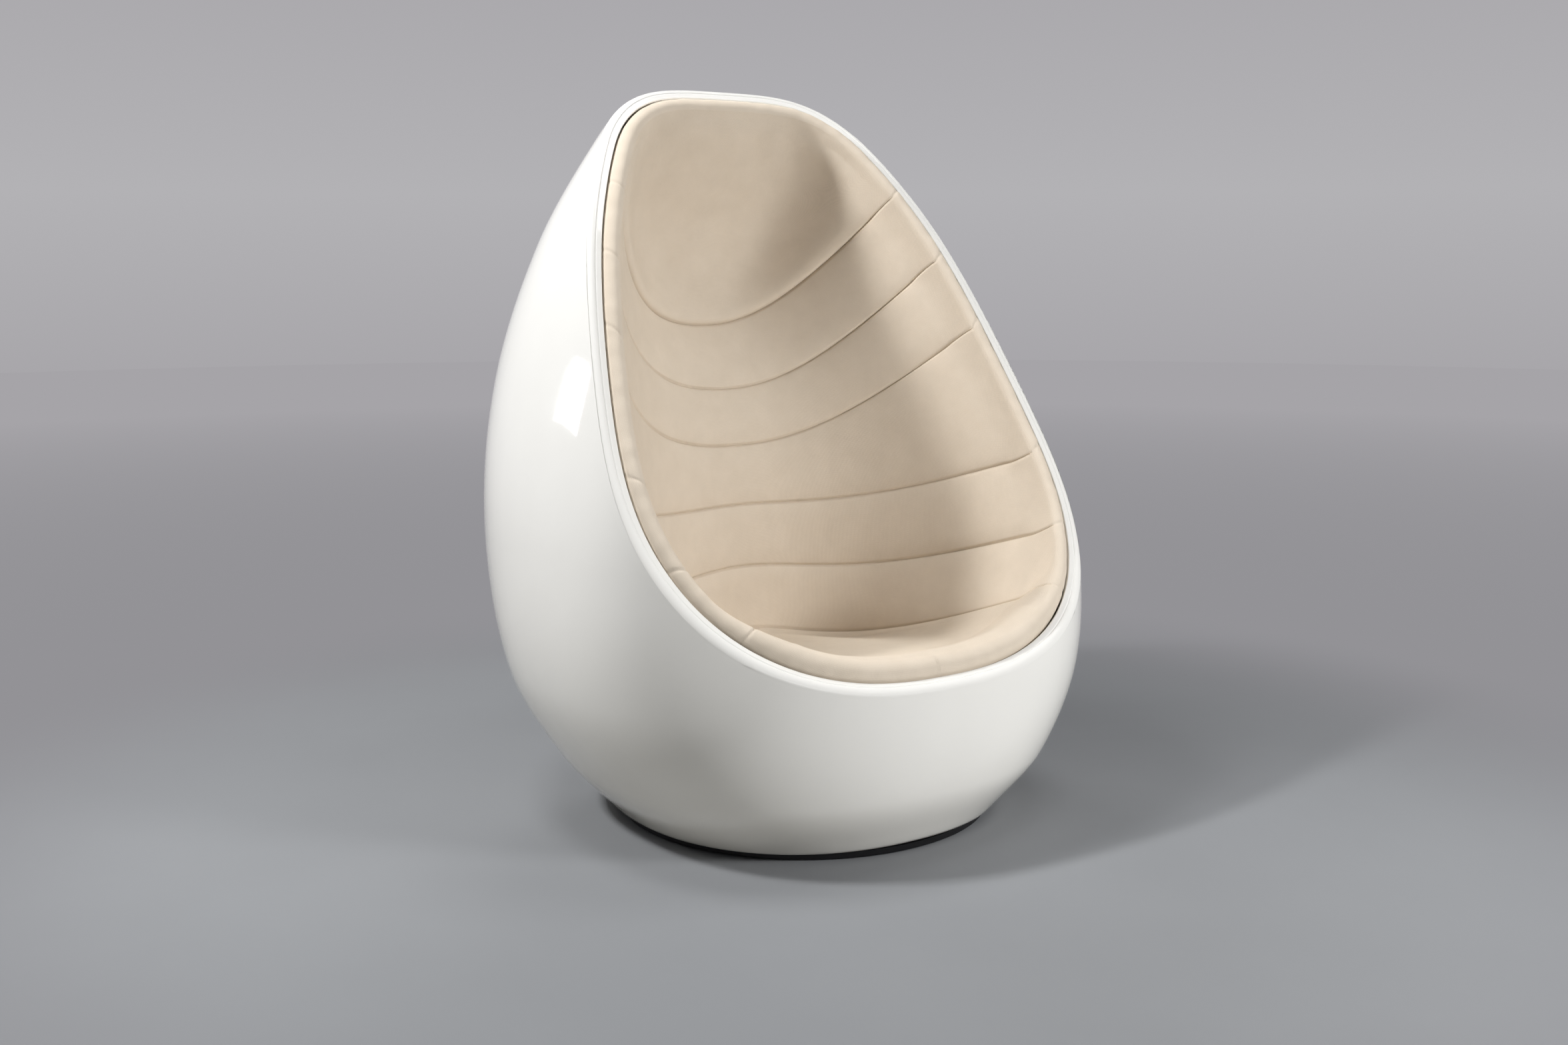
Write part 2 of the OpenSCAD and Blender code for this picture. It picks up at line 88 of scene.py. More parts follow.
# Shares of the opening's height at each seam, on the middle plane and at the rim
SEAM_MID_SHARES = (0.244, 0.340, 0.432, 0.524, 0.623, 0.750)
SEAM_RIM_SHARES = (0.080, 0.188, 0.328, 0.564, 0.694, 0.820)
# Blender's wave texture repeats this many radians for each unit of its scale
WAVE_UNIT = 20
PAD_NAMES = ("seat_pad", *[f"back_pad_{i}" for i in range(1, 6)], "head_pad")


def length(name, default, about=""):
    """A length in metres that a user may change."""
    return FloatProperty(name=name, description=about, default=default, min=0, unit="LENGTH", precision=4)


def tilt(name, default):
    """An angle in radians that a user may change."""
    return FloatProperty(name=name, default=default, subtype="ANGLE")


def colour(name, default):
    """A colour that a user may change."""
    return StringProperty(name=name, description="As an sRGB hex value", default=default)


class PodShellSettings(bpy.types.PropertyGroup):
    """Sizes and finish of the gelcoated egg"""
    egg_top: length("Egg's height", 1.293)
    egg_w: length("Egg's width", 1.024)
    egg_back: length("Reach behind the axis", 0.602)
    egg_front: length("Reach before the axis", 0.412)
    rim_front_z: length("Height of the opening's front", 0.300)
    rim_swell: length("Rim swell", 0.026, "How far the rim line swells backwards")
    rim_bend: length("Rim bend", 0.031, "How far the rim line bends forward above and back below")
    wall: length("Wall thickness", 0.006)
    foot_hole_r: length("Radius of the hole in the floor", 0.060)
    lip_w: length("Lip width", 0.024)
    edge_r: length("Edge rounding", 0.009, "Rounding of the egg's edge into the lip")
    lip_depth: length("Depth of the turned-in edge", 0.034)
    parting_w: length("Width of the line along the lip", 0.0022)
    columns: IntProperty(name="Columns round the egg", default=360, min=90)
    gelcoat: colour("Gelcoat", "#F0EFEB")


class PodClothSettings(bpy.types.PropertyGroup):
    """Sizes and finish of the upholstery"""
    shadow_gap: length("Gap between lip and cloth", 0.003)
    roll_w: length("Roll width", 0.032)
    roll_h: length("Roll height over the lip", 0.010)
    front_roll_w: length("Front roll width", 0.046, "Width of the fuller roll along the seat's front")
    front_roll_h: length("Front roll height", 0.022, "Height of the fuller roll over the lip")
    roll_seat: length("Depth of the roll's seat", 0.020, "Depth below the lip")
    back_foam: length("Back foam thickness", 0.036)
    seat_foam: length("Seat foam thickness", 0.058)
    crown: length("Crown", 0.005, "How far each band swells between its seams")
    crown_reach: length("Crown reach", 0.045, "How far from a seam the swell levels out")
    seam_depth: length("Depth of the sewn groove", 0.0034)
    seam_w: length("Half width of the sewn groove", 0.0021)
    roll_groove: length("Depth of the groove on the roll", 0.0024)
    puff: length("Puff", 0.006, "The most that the padding blows the cloth up")
    thread: length("Thread spacing", 0.0016, "Spacing of the drawn weave")
    cloth: colour("Wool cloth", "#E2D5C4")


class PodStageSettings(bpy.types.PropertyGroup):
    """Floor, backdrop, lamps and camera"""
    floor: colour("Floor", "#8F9194")
    floor_light: colour("Light that the floor throws back", "#A6A5A2")
    backdrop_foot: colour("Backdrop at the floor", "#939296")
    backdrop: colour("Backdrop at the horizon", "#A6A4A8")
    backdrop_top: colour("Backdrop higher up", "#B3B2B5")
    floor_r: length("Floor radius", 14.0)
    floor_near: length("Near floor", 1.0, "Where the floor starts to turn into the backdrop")
    floor_far: length("Far floor", 1.9, "Where the floor has turned into the backdrop")
    distance: length("Camera's distance from the axis", 2.9447)
    height: length("Camera's height", 0.9763)
    azimuth: tilt("Camera's turn round the chair", -0.62)
    pan: tilt("Camera's turn from the axis", 0.01196)
    pitch: tilt("Camera's tilt downwards", 0.15607)
    roll: tilt("Camera's roll", -0.00187)
    lens: FloatProperty(name="Lens for a 36 mm sensor", default=37.957, subtype="DISTANCE_CAMERA")


def linear(code):
    """Linear colour from an sRGB hex value."""
    v = np.array([int(code[i:i + 2], 16) for i in (1, 3, 5)]) / 255
    return (*np.where(v <= 0.04045, v / 12.92, ((v + 0.055) / 1.055) ** 2.4), 1.0)


def lerp(a, b, k):
    """The value a share k of the way from a to b."""
    return a + (b - a) * k


def smooth(k):
    """Rises from 0 to 1 with level ends."""
    c = np.clip(k, 0, 1)
    return c * c * (3 - 2 * c)


def unit(v):
    """Vectors made one long."""
    return v / np.linalg.norm(v, axis=-1, keepdims=True)


def read_table(table, x, column):
    """Cubic Hermite through a table's rows, with central differences as slopes."""
    xs, ys = np.array(table, float)[:, 0], np.array(table, float)[:, column]
    steps = np.diff(ys) / np.diff(xs)
    slopes = np.concatenate([steps[:1], (ys[2:] - ys[:-2]) / (xs[2:] - xs[:-2]), steps[-1:]])
    i = np.clip(np.searchsorted(xs, x, side="right") - 1, 0, len(xs) - 2)
    span = xs[i + 1] - xs[i]
    k = (x - xs[i]) / span
    return ((2 * k ** 3 - 3 * k ** 2 + 1) * ys[i] + (k ** 3 - 2 * k ** 2 + k) * span * slopes[i]
            + (3 * k ** 2 - 2 * k ** 3) * ys[i + 1] + (k ** 3 - k ** 2) * span * slopes[i + 1])


class Egg:
    """The egg's outside and the line of its opening."""
    CROWN_OVER = 0.007
    WIDEST_Y = (0.004, 0.060)
    ROUNDNESS = (2.2, 1.4)
    TILTS = np.radians((22, 58, 52))
    SIDE_TURN = math.radians(80)
    PROBE_TURN = math.radians(1)
    PROBE_Z = 0.001

    def __init__(self, s):
        self.s = s
        self.crown_z = s.egg_top + self.CROWN_OVER

    def share(self, z):
        """Height as a share of the egg's."""
        return (z - FOOT_Z) / (self.crown_z - FOOT_Z)

    def half_width(self, z):
        """Half width of the plan section at a height."""
        return self.s.egg_w / 2 * read_table(EGG_SECTION_SHARES, self.share(z), 1)

    def back_y(self, z):
        """Back end of the plan section at a height."""
        return self.s.egg_back * read_table(EGG_SECTION_SHARES, self.share(z), 2)

    def front_y(self, z):
        """Front end of the plan section at a height."""
        return -self.s.egg_front * read_table(EGG_SECTION_SHARES, self.share(z), 3)

    def widest_y(self, z):
        """Where the plan section is widest."""
        return self.WIDEST_Y[0] + self.WIDEST_Y[1] * self.share(z)

    def reach(self, z, side):
        """Reach of the section behind or before its widest place."""
        return np.where(side >= 0, self.back_y(z) - self.widest_y(z), self.widest_y(z) - self.front_y(z))

    def exponent(self, z):
        """Exponent of the section's superellipse."""
        return self.ROUNDNESS[0] + self.ROUNDNESS[1] * self.share(z)

    def point(self, z, heading):
        """Superellipse section at each height: |x/a|^e + |y/b|^e = 1 met by a ray at the heading."""
        c, s = np.cos(heading), np.sin(heading)
        e = self.exponent(z)
        r = (np.abs(c) ** e + np.abs(s) ** e) ** (-1 / e)
        y = self.widest_y(z) + self.reach(z, s) * r * s
        return np.stack([self.half_width(z) * r * c, y, z + 0 * r], -1)

    def normal(self, z, heading):
        """Outward normal from the differences along both parameters."""
        d, h = self.PROBE_TURN, self.PROBE_Z
        return unit(np.cross(self.point(z, heading + d) - self.point(z, heading - d),
                             self.point(z + h, heading) - self.point(z - h, heading)))

    def rim(self, turn):
        """The opening's edge: height and depth from the turn, width from the egg's section there."""
        s = (1 - np.cos(turn)) / 2
        z = lerp(self.s.rim_front_z, self.s.egg_top, s)
        y = (lerp(self.front_y(self.s.rim_front_z), self.back_y(self.s.egg_top), s)
             + 4 * self.s.rim_swell * s * (1 - s) + 8 * self.s.rim_bend * s * (1 - s) * (1 - 2 * s))
        side = y - self.widest_y(z)
        e = self.exponent(z)
        d = np.minimum(1, np.abs(side / self.reach(z, side)))
        x = self.half_width(z) * (1 - d ** e) ** (1 / e)
        return np.stack([np.where(np.sin(turn) < 0, -x, x), y, z], -1)

    def rim_heading(self, turn):
        """Heading of the egg's section that meets the rim at this turn."""
        p = self.rim(turn)
        side = p[..., 1] - self.widest_y(p[..., 2])
        return np.arctan2(side / self.reach(p[..., 2], side), p[..., 0] / self.half_width(p[..., 2]))

    def along_rim(self, turn):
        """Direction of the rim at a turn."""
        return unit(self.rim(turn + self.PROBE_TURN) - self.rim(turn - self.PROBE_TURN))

    def rim_axes(self, turn):
        """Rim point, and unit axes inwards across the opening and out of it."""
        along = self.along_rim(turn)
        b = np.mod(turn, 2 * math.pi)
        b = np.where(b > math.pi, 2 * math.pi - b, b)
        front, side, top = self.TILTS
        t = np.where(b < self.SIDE_TURN, lerp(front, side, smooth(b / self.SIDE_TURN)),
                     lerp(side, top, smooth((b - self.SIDE_TURN) / (math.pi - self.SIDE_TURN))))
        inwards = unit(np.cross(np.stack([0 * t, -np.sin(t), np.cos(t)], -1), along))
        return self.rim(turn), inwards, np.cross(along, inwards)

    def at_rim(self, turn, inwards, out):
        """A place that far inwards and outwards of the rim at a turn."""
        p, i, o = self.rim_axes(turn)
        return p + np.asarray(inwards)[..., None] * i + np.asarray(out)[..., None] * o

    def wall_down(self, turn):
        """Direction down the egg's wall, square to the rim."""
        p, along = self.rim(turn), self.along_rim(turn)
        v = self.point(p[..., 2] - self.PROBE_Z, self.rim_heading(turn)) - p
        return unit(v - (v * along).sum(-1, keepdims=True) * along)


class RollLine:
    """The roll's section round the opening, and how the panels' cloth climbs onto it. Angles count
    from the inner side: 90 degrees at the crest, 180 at the shadow gap."""
    FULLER_TO = math.radians(24)
    PLAIN_FROM = math.radians(44)
    MEET = np.radians((84, 38))
    STEEPEST = np.radians((0, 22))
    CLIMB_R = (0.075, 0.020)
    CLIMB_RUN = (0.030, 0.025)

    def __init__(self, egg, c):
        self.egg, self.c = egg, c
        self.near = egg.s.lip_w + c.shadow_gap

    def by_turn(self, pair, turn):
        """A pair's first value along the seat's front, its second elsewhere."""
        b = np.abs(np.mod(turn + math.pi, 2 * math.pi) - math.pi)
        return lerp(pair[0], pair[1], smooth((b - self.FULLER_TO) / (self.PLAIN_FROM - self.FULLER_TO)))

    def width(self, turn):
        """Width of the roll."""
        return self.by_turn((self.c.front_roll_w, self.c.roll_w), turn)

    def height(self, turn):
        """Height of the roll's crest over the lip."""
        return self.by_turn((self.c.front_roll_h, self.c.roll_h), turn)

    def arc(self, turn, angle, grow=0):
        """Pair of inwards and out on the section's arc, grown by a little."""
        r = self.width(turn) / 2
        return (self.near + r + (r + grow) * np.cos(angle),
                self.height(turn) - r + (r + grow) * np.sin(angle))

    def climb(self, turn, run):
        """The panels' cloth: from where it meets the roll it turns down on an arc, then runs straight."""
        meet, steepest = self.by_turn(self.MEET, turn), self.by_turn(self.STEEPEST, turn)
        r = self.by_turn(self.CLIMB_R, turn)
        angle = np.maximum(steepest, meet - run / r)
        straight = np.maximum(0, run - r * (meet - steepest))
        inset, out = self.arc(turn, meet)
        inset = inset + r * (np.cos(angle) - np.cos(meet)) + straight * np.sin(steepest)
        out = out - r * (np.sin(meet) - np.sin(angle)) - straight * np.cos(steepest)
        return self.egg.at_rim(turn, inset, out)


class Bucket:
    """The cloth surface inside the egg. Rows are counted by seams, columns run from -1 to 1."""
    FRONT_ARC = math.radians(24)
    TOP_ARC = math.radians(26)
    WALL_SQUARE = (4.5, 2.6)
    BED_GAP = 0.0004

    def __init__(self, roll):
        egg, c = roll.egg, roll.c
        s = egg.s
        self.egg, self.c, self.roll = egg, c, roll
        self.last = len(SEAM_MID_SHARES) + 1
        self.drop = c.roll_seat + self.BED_GAP
        foot = np.array([0, egg.front_y(s.rim_front_z), s.rim_front_z])
        chord = unit(np.array([0, egg.back_y(s.egg_top), s.egg_top]) - foot)
        self.foot, self.chord, self.into = foot, chord, np.array([0, chord[2], -chord[1]])
        ends = self.edge(np.array([0, math.pi]))
        line = [[0, s.egg_back * a, lerp(s.rim_front_z, s.egg_top, b)] for a, b in SEAT_LINE_SHARES]
        self.line = self.on_chord(np.array([ends[0], *line, ends[1]]))
        front, top = (1 - math.cos(self.FRONT_ARC)) / 2, (1 + math.cos(self.TOP_ARC)) / 2
        seams = zip(range(1, self.last), SEAM_RIM_SHARES, SEAM_MID_SHARES)
        self.rows = [(0, front, 0), *seams, (self.last, top, 1)]

    def edge(self, turn):
        """The cloth's edge, inside the roll and below the lip."""
        return self.egg.at_rim(turn, self.roll.near + self.roll.width(turn), -self.drop)

    def on_chord(self, p):
        """Distance along the opening's chord and depth below it."""
        return np.stack([(p - self.foot) @ self.chord, (p - self.foot) @ self.into], -1)

    @staticmethod
    def turn_at(share):
        """Turn of the rim at a share of its height."""
        return np.arccos(1 - 2 * np.clip(share, 0, 1))

    def depth(self, m):
        """Depth of the bucket below the chord on the middle plane."""
        q = self.on_chord(self.edge(self.turn_at(m)))
        return np.maximum(0, read_table(self.line, q[..., 0], 1) - q[..., 1])

    def place(self, g, c):
        """Width and share of height at row g, column c. Rows bow from the middle to the rim, and the
        first and last follow it."""
        top = g > 1
        w = np.where(top, self.TOP_ARC, self.FRONT_ARC)
        k = smooth(np.where(g < 1, 1 - g, g - self.last + 1))
        e, m = read_table(self.rows, g, 1), read_table(self.rows, g, 2)
        a = w * np.abs(c)
        arc = np.sign(c) * (self.edge(np.where(top, math.pi - a, a))[..., 0]
                            / self.edge(np.where(top, math.pi - w, w))[..., 0])
        rise = (1 - np.cos(a)) / (1 - np.cos(w))
        return (self.edge(self.turn_at(e))[..., 0] * lerp(c, arc, k),
                m + (e - m) * lerp(c * c, rise, k), m)

    def point(self, g, c):
        """The rim's chord surface sunk by the bucket's depth times 1 - |c|^n."""
        x, share, m = self.place(g, c)
        e = self.edge(self.turn_at(share))
        n = lerp(*self.WALL_SQUARE, smooth(2 * m))
        p = np.stack([x, e[..., 1], e[..., 2]], -1)
        return p + self.into * (self.depth(m) * (1 - np.abs(c) ** n))[..., None]


class Sheet:
    """The cloth's whole top as one grid, from the seat's front to the head. Neighbouring pads share
    the row at their seam."""
    CELLS = 30
    COLUMNS = 160
    FINE_COLUMNS = 400
    ROW_CROWD = 0.72
    COLUMN_CROWD = 1.7
    REACH = (0.045, 0.080, 0.050)
    END_FADE = 0.045
    TINY = 1e-6

    def __init__(self, bucket):
        self.bucket, self.roll = bucket, bucket.roll
        t = np.arange(self.CELLS) / self.CELLS
        v = t - self.ROW_CROWD * np.sin(2 * math.pi * t) / (2 * math.pi)
        rows = np.append((np.arange(bucket.last)[:, None] + v).ravel(), bucket.last)
        u = np.linspace(-1, 1, self.COLUMNS + 1)
        u = np.sign(u) * (1 - (1 - np.abs(u)) ** self.COLUMN_CROWD)
        self.c, half = self.spaced(rows, u)
        self.g = np.broadcast_to(rows[:, None], self.c.shape)
        base = bucket.point(self.g, self.c)
        x, share, _ = bucket.place(self.g, self.c)
        self.turn = np.where(x < 0, -1, 1) * bucket.turn_at(share)
        self.side = (1 - np.abs(u)) * half
        self.along = path_length(base, 0)
        self.uv = np.stack([u * half, self.along], -1)
        self.seam, crown = self.crown()
        self.top = self.lift(base + crown[..., None] * self.normals(base))

    def spaced(self, rows, u):
        """Columns at the shares u of each row's real half length, and that half length."""
        fine = np.linspace(-1, 1, self.FINE_COLUMNS + 1)
        run = path_length(self.bucket.point(*np.meshgrid(rows, fine, indexing="ij")), 1)
        columns = np.array([np.interp((u + 1) / 2 * row[-1], row, fine) for row in run])
        columns[:, 0], columns[:, -1] = -1, 1
        return columns, run[:, -1:] / 2

    def crown(self):
        """Distance from the nearest seam, and the swell there: crown (1 - (1 - k)^3), with k from 0
        at a seam to 1 at the reach."""
        c = self.bucket.c
        width = np.repeat(np.diff(self.along[::self.CELLS], axis=0), self.CELLS, axis=0)
        width = np.vstack([width, width[-1:]])
        v = self.g - np.floor(self.g)
        seam = np.minimum(v, 1 - v) * width
        k = np.clip(seam / np.minimum(c.crown_reach, width / 2), 0, 1)
        fade = smooth(np.minimum(self.side, self.border()) / self.END_FADE)
        return seam, c.crown * (1 - (1 - k) ** 3) * fade

    def border(self):
        """Distance from the seat's front or the head's top."""
        return np.minimum(self.along, self.along[-1] - self.along)

    def normals(self, p):
        """Normals of a grid towards the sitter, from its differences."""
        return unit(np.cross(np.gradient(p, axis=1), np.gradient(p, axis=0)))

    def lift(self, p):
        """Near the roll the cloth climbs onto it: p + w (climb(turn, run) - p), with w falling from 1
        at the border to 0 at the reach. In a corner the nearer border counts as w^4 / distance."""
        ends = self.turn[:, -1:] * np.sign(self.c + self.TINY)
        borders = zip((self.side, self.along, self.along[-1] - self.along),
                      (ends, self.turn[:1], self.turn[-1:]), self.REACH)
        total, target, strongest = 0, 0, 0
        for distance, turn, reach in borders:
            turn = np.broadcast_to(turn, distance.shape)
            w = smooth(1 - distance / reach)
            run = distance * (1 + self.roll.by_turn(self.roll.CLIMB_RUN, turn) / reach)
            share = w ** 4 / (distance + self.TINY)
            target = target + share[..., None] * self.roll.climb(turn, run)
            total = total + share
            strongest = np.maximum(strongest, w)
        total = np.where(total > 0, total, 1)
        return p + strongest[..., None] * (target / total[..., None] - p)

    def groove(self):
        """Depth of the sewn channels, shallower where they run onto the roll."""
        c = self.bucket.c
        fade = lerp(c.roll_groove / c.seam_depth, 1, smooth(self.side / self.END_FADE))
        sewn = (self.g > 0.5) & (self.g < self.bucket.last - 0.5)
        return sewn * fade * c.seam_depth * np.exp(-(self.seam / c.seam_w) ** 2)


def path_length(p, axis):
    """Length along a grid's lines up to each place."""
    steps = np.linalg.norm(np.diff(p, axis=axis), axis=-1)
    return np.insert(np.cumsum(steps, axis), 0, 0, axis)


def add_object(name, data):
    """An object in the scene."""
    obj = bpy.data.objects.new(name, data)
    bpy.context.scene.collection.objects.link(obj)
    return obj


def clear_mesh(name, verts, faces, uv=None, sharp=None):
    """A mesh object at the origin from vertex and face arrays, shaded smooth."""
    mesh = bpy.data.meshes.new(name)
    mesh.from_pydata(np.asarray(verts, float).reshape(-1, 3), [], np.asarray(faces).tolist())
    if uv is not None:
        layer = mesh.uv_layers.new(name="UVMap")
        layer.data.foreach_set("uv", np.asarray(uv, np.float32)[np.asarray(faces).ravel()].ravel())
    mesh.polygons.foreach_set("use_smooth", np.ones(len(mesh.polygons), bool))
    if sharp is not None:
        mesh.set_sharp_from_angle(angle=sharp)
    mesh.update()
    return add_object(name, mesh)


def grid_faces(rows, columns, start=0, flip=False, wrap_rows=False, wrap_columns=False):
    """Quads of a grid of vertices counted row by row."""
    i = np.arange(rows if wrap_rows else rows - 1)[:, None]
    j = np.arange(columns if wrap_columns else columns - 1)[None, :]
    i2, j2 = (i + 1) % rows, (j + 1) % columns
    corners = i * columns + j, i * columns + j2, i2 * columns + j2, i2 * columns + j
    q = np.stack(np.broadcast_arrays(*corners), -1).reshape(-1, 4) + start
    return q[:, ::-1] if flip else q


def shade(value, by):
    """A colour made lighter or darker by a factor."""
    return (*[min(1.0, v * by) for v in value[:3]], 1.0)


def grey(value):
    """A neutral colour."""
    return (value, value, value, 1.0)


class Nodes:
    """Adds shader nodes to a tree."""

    def __init__(self, tree):
        self.tree = tree

    def add(self, kind, settings=None, links=None, **attributes):
        """Adds one node with its attributes, its sockets' values and its input links."""
        node = self.tree.nodes.new(kind)
        for key, value in attributes.items():
            setattr(node, key, value)
        for key, value in (settings or {}).items():
            node.inputs[key].default_value = value
        for key, socket in (links or {}).items():
            self.tree.links.new(socket, node.inputs[key])
        return node

    def ramp(self, source, *stops):
        """A colour ramp over a factor; stops are places and colours."""
        node = self.add("ShaderNodeValToRGB", links={"Fac": source})
        elements = node.color_ramp.elements
        while len(elements) < len(stops):
            elements.new(0.5)
        for element, (place, value) in zip(elements, stops):
            element.position, element.color = place, value
        return node.outputs["Color"]

    def span(self, value, start, end, **attributes):
        """A value's share of the way from a start to an end."""
        return self.add("ShaderNodeMapRange", {"From Min": start, "From Max": end}, {"Value": value},
                        **attributes).outputs["Result"]

    def combine(self, operation, *sources):
        """One arithmetic step on sockets."""
        return self.add("ShaderNodeMath", links=dict(enumerate(sources)), operation=operation).outputs[0]

    def seen(self):
        """1 for the camera's rays, mirrored and refracted ones too, so that gloss shows the backdrop."""
        path = self.add("ShaderNodeLightPath").outputs
        seen = self.combine("MAXIMUM", path["Is Camera Ray"], path["Is Glossy Ray"])
        return self.combine("MAXIMUM", seen, path["Is Transmission Ray"])

    def show(self, output, share, first, second):
        """Shows two shaders, mixed by a share."""
        mix = self.add("ShaderNodeMixShader", links={0: share, 1: first.outputs[0], 2: second.outputs[0]})
        self.tree.links.new(mix.outputs[0], self.tree.nodes[output].inputs["Surface"])


class Finish(Nodes):
    """A material with its Principled shader, and the nodes that give it its detail."""

    def __init__(self, name, **principled):
        self.material = bpy.data.materials.new(name)
        self.material.use_nodes = True
        super().__init__(self.material.node_tree)
        self.shader = self.tree.nodes["Principled BSDF"]
        for key, value in principled.items():
            self.shader.inputs[key.replace("_", " ")].default_value = value
        self.place = self.add("ShaderNodeTexCoord").outputs["Object"]

    def textured(self, kind, settings, at=None, **attributes):
        """A texture node, at the object's coordinates unless it's told other ones."""
        return self.add(kind, settings, {"Vector": self.place if at is None else at}, **attributes).outputs

    def noise(self, scale, detail=3.0, rough=0.5, at=None):
        """Fractal noise with a scale per metre."""
        settings = {"Scale": scale, "Detail": detail, "Roughness": rough}
        return self.textured("ShaderNodeTexNoise", settings, at)["Fac"]

    def waves(self, spacing, direction, at=None, **settings):
        """Even bands at a real spacing in metres."""
        settings = {key.replace("_", " "): value for key, value in settings.items()}
        settings["Scale"] = 2 * math.pi / spacing / WAVE_UNIT
        return self.textured("ShaderNodeTexWave", settings, at, bands_direction=direction)["Fac"]

    def stretched(self, scale):
        """The object's coordinates, scaled by an amount along each axis."""
        return self.textured("ShaderNodeMapping", {"Scale": scale})["Vector"]

    def drive(self, socket, source, *stops):
        """Drives one of the shader's sockets by a source, over a colour ramp where stops are given."""
        self.tree.links.new(self.ramp(source, *stops) if stops else source, self.shader.inputs[socket])

    def bump(self, height, distance, strength=1.0, under=None):
        """A bump of a real height in metres on the shader, over another one where given."""
        links = {"Height": height, **({} if under is None else {"Normal": under})}
        node = self.add("ShaderNodeBump", {"Strength": strength, "Distance": distance}, links)
        self.drive("Normal", node.outputs["Normal"])
        return node.outputs["Normal"]

    def grained(self, grain, code, tones, bump, rough=()):
        """Tones of one colour, roughness and a bump, all from the same grain."""
        self.drive("Base Color", grain, *[(at, shade(linear(code), by)) for at, by in tones])
        if rough:
            self.drive("Roughness", grain, *[(at, grey(value)) for at, value in rough])
        self.bump(grain, *bump)
        return self.material


def polished_gelcoat(code):
    """Gelcoat sprayed in a mould and polished: deep gloss, a faint long waviness from the laminate
    behind it and a slight haze."""
    base = linear(code)
    finish = Finish("polished_gelcoat", IOR=1.5, Coat_Weight=0.4, Coat_Roughness=0.03, Coat_IOR=1.5)
    finish.drive("Base Color", finish.noise(5, 2), (0.3, shade(base, 0.985)), (0.7, shade(base, 1.01)))
    finish.drive("Roughness", finish.noise(60, 4), (0.3, grey(0.03)), (0.75, grey(0.06)))
    finish.bump(finish.noise(14, 1), 0.0006, 0.25)
    return finish.material


def wool_cloth(code, thread):
    """Cream wool woven plain, with a soft nap: matt, with a pale sheen at grazing angles. Its threads
    are drawn twice as coarse as real ones, so that they show."""
    base = linear(code)
    finish = Finish("cream_wool_cloth", Roughness=0.92, Sheen_Weight=0.35, Sheen_Roughness=0.45,
                    Sheen_Tint=linear("#FFF6E6"), Specular_IOR_Level=0.25)
    along = finish.add("ShaderNodeUVMap", uv_map="UVMap").outputs["UV"]
    warp, weft = [finish.waves(thread, way, along, Distortion=1.2, Detail=2.0, Detail_Scale=0.6)
                  for way in "XY"]
    weave = finish.combine("MULTIPLY", warp, weft)
    nap = finish.noise(900, 3, 0.7, along)
    cloud = finish.noise(22, 4, 0.6)
    tint = finish.ramp(weave, (0.0, shade(base, 0.93)), (1.0, shade(base, 1.05)))
    mottle = finish.ramp(cloud, (0.25, (0.955, 0.95, 0.94, 1)), (0.75, grey(1.02)))
    fleck = finish.ramp(nap, (0.3, grey(0.95)), (0.7, grey(1.03)))
    for layer in (mottle, fleck):
        tint = finish.add("ShaderNodeMix", {0: 1.0}, {6: tint, 7: layer}, data_type="RGBA",
                          blend_type="MULTIPLY").outputs[2]
    finish.drive("Base Color", tint)
    uneven = finish.bump(finish.noise(30, 2), 0.0012, 0.35)
    woven = finish.bump(weave, 0.0004, 0.5, uneven)
    finish.bump(nap, 0.0003, 0.4, woven)
    return finish.material


def lacquered_board(code):
    """Board sprayed with satin black lacquer, with soft highlights and faint rubbing marks."""
    finish = Finish("satin_black_lacquer", IOR=1.5)
    return finish.grained(finish.noise(180, 5, 0.7), code, ((0.4, 1), (0.8, 1.7)), (0.0002, 0.3),
                          ((0.3, 0.32), (0.8, 0.5)))


def ground_rubber(code):
    """Calendered rubber sheet: matt black with a fine pebble."""
    finish = Finish("black_rubber_sheet", Roughness=0.85, IOR=1.52)
    pebble = finish.textured("ShaderNodeTexVoronoi", {"Scale": 700.0})["Distance"]
    return finish.grained(pebble, code, ((0.0, 0.8), (1.0, 1.3)), (0.0003, 0.5))


def metal(name, code, rough, scale, stretch=(1, 1, 1)):
    """Metal with a grain, stretched the way that it was worked: spangled zinc, polished steel or
    rolled brass."""
    finish = Finish(name, Metallic=1.0)
    grain = finish.noise(scale, 4, at=finish.stretched(stretch))
    return finish.grained(grain, code, ((0.3, 0.9), (0.7, 1.06)), (0.0001, 0.3),
                          ((0.3, rough * 0.8), (0.7, rough * 1.25)))


def birch_plywood(code):
    """Raw birch plywood: pale faces with fine grain, and plies 1.4 mm thick on the edges."""
    base = linear(code)
    finish = Finish("birch_plywood", Roughness=0.6)
    plies = finish.waves(0.0028, "Z", Distortion=0.3)
    grain = finish.noise(1, 5, 0.6, finish.stretched((12, 160, 160)))
    both = finish.add("ShaderNodeMath", {1: 0.3}, {0: plies, 2: grain}, operation="MULTIPLY_ADD").outputs[0]
    finish.drive("Base Color", both, (0.2, shade(base, 0.72)), (0.8, shade(base, 1.08)))
    finish.bump(grain, 0.0003, 0.4)
    return finish.material


def chopped_strand(code):
    """Hand-laid chopped strand laminate left raw: yellowish, with crossing strands 1 mm wide."""
    finish = Finish("raw_glass_laminate", Roughness=0.45, IOR=1.52)
    strands = finish.textured("ShaderNodeTexVoronoi", {"Scale": 90.0}, feature="DISTANCE_TO_EDGE")
    return finish.grained(strands["Distance"], code, ((0.0, 1.15), (0.25, 0.85)), (0.0006, 0.6))


def set_material(obj, material):
    """Gives an object one material in place of what it has."""
    obj.data.materials.clear()
    obj.data.materials.append(material)


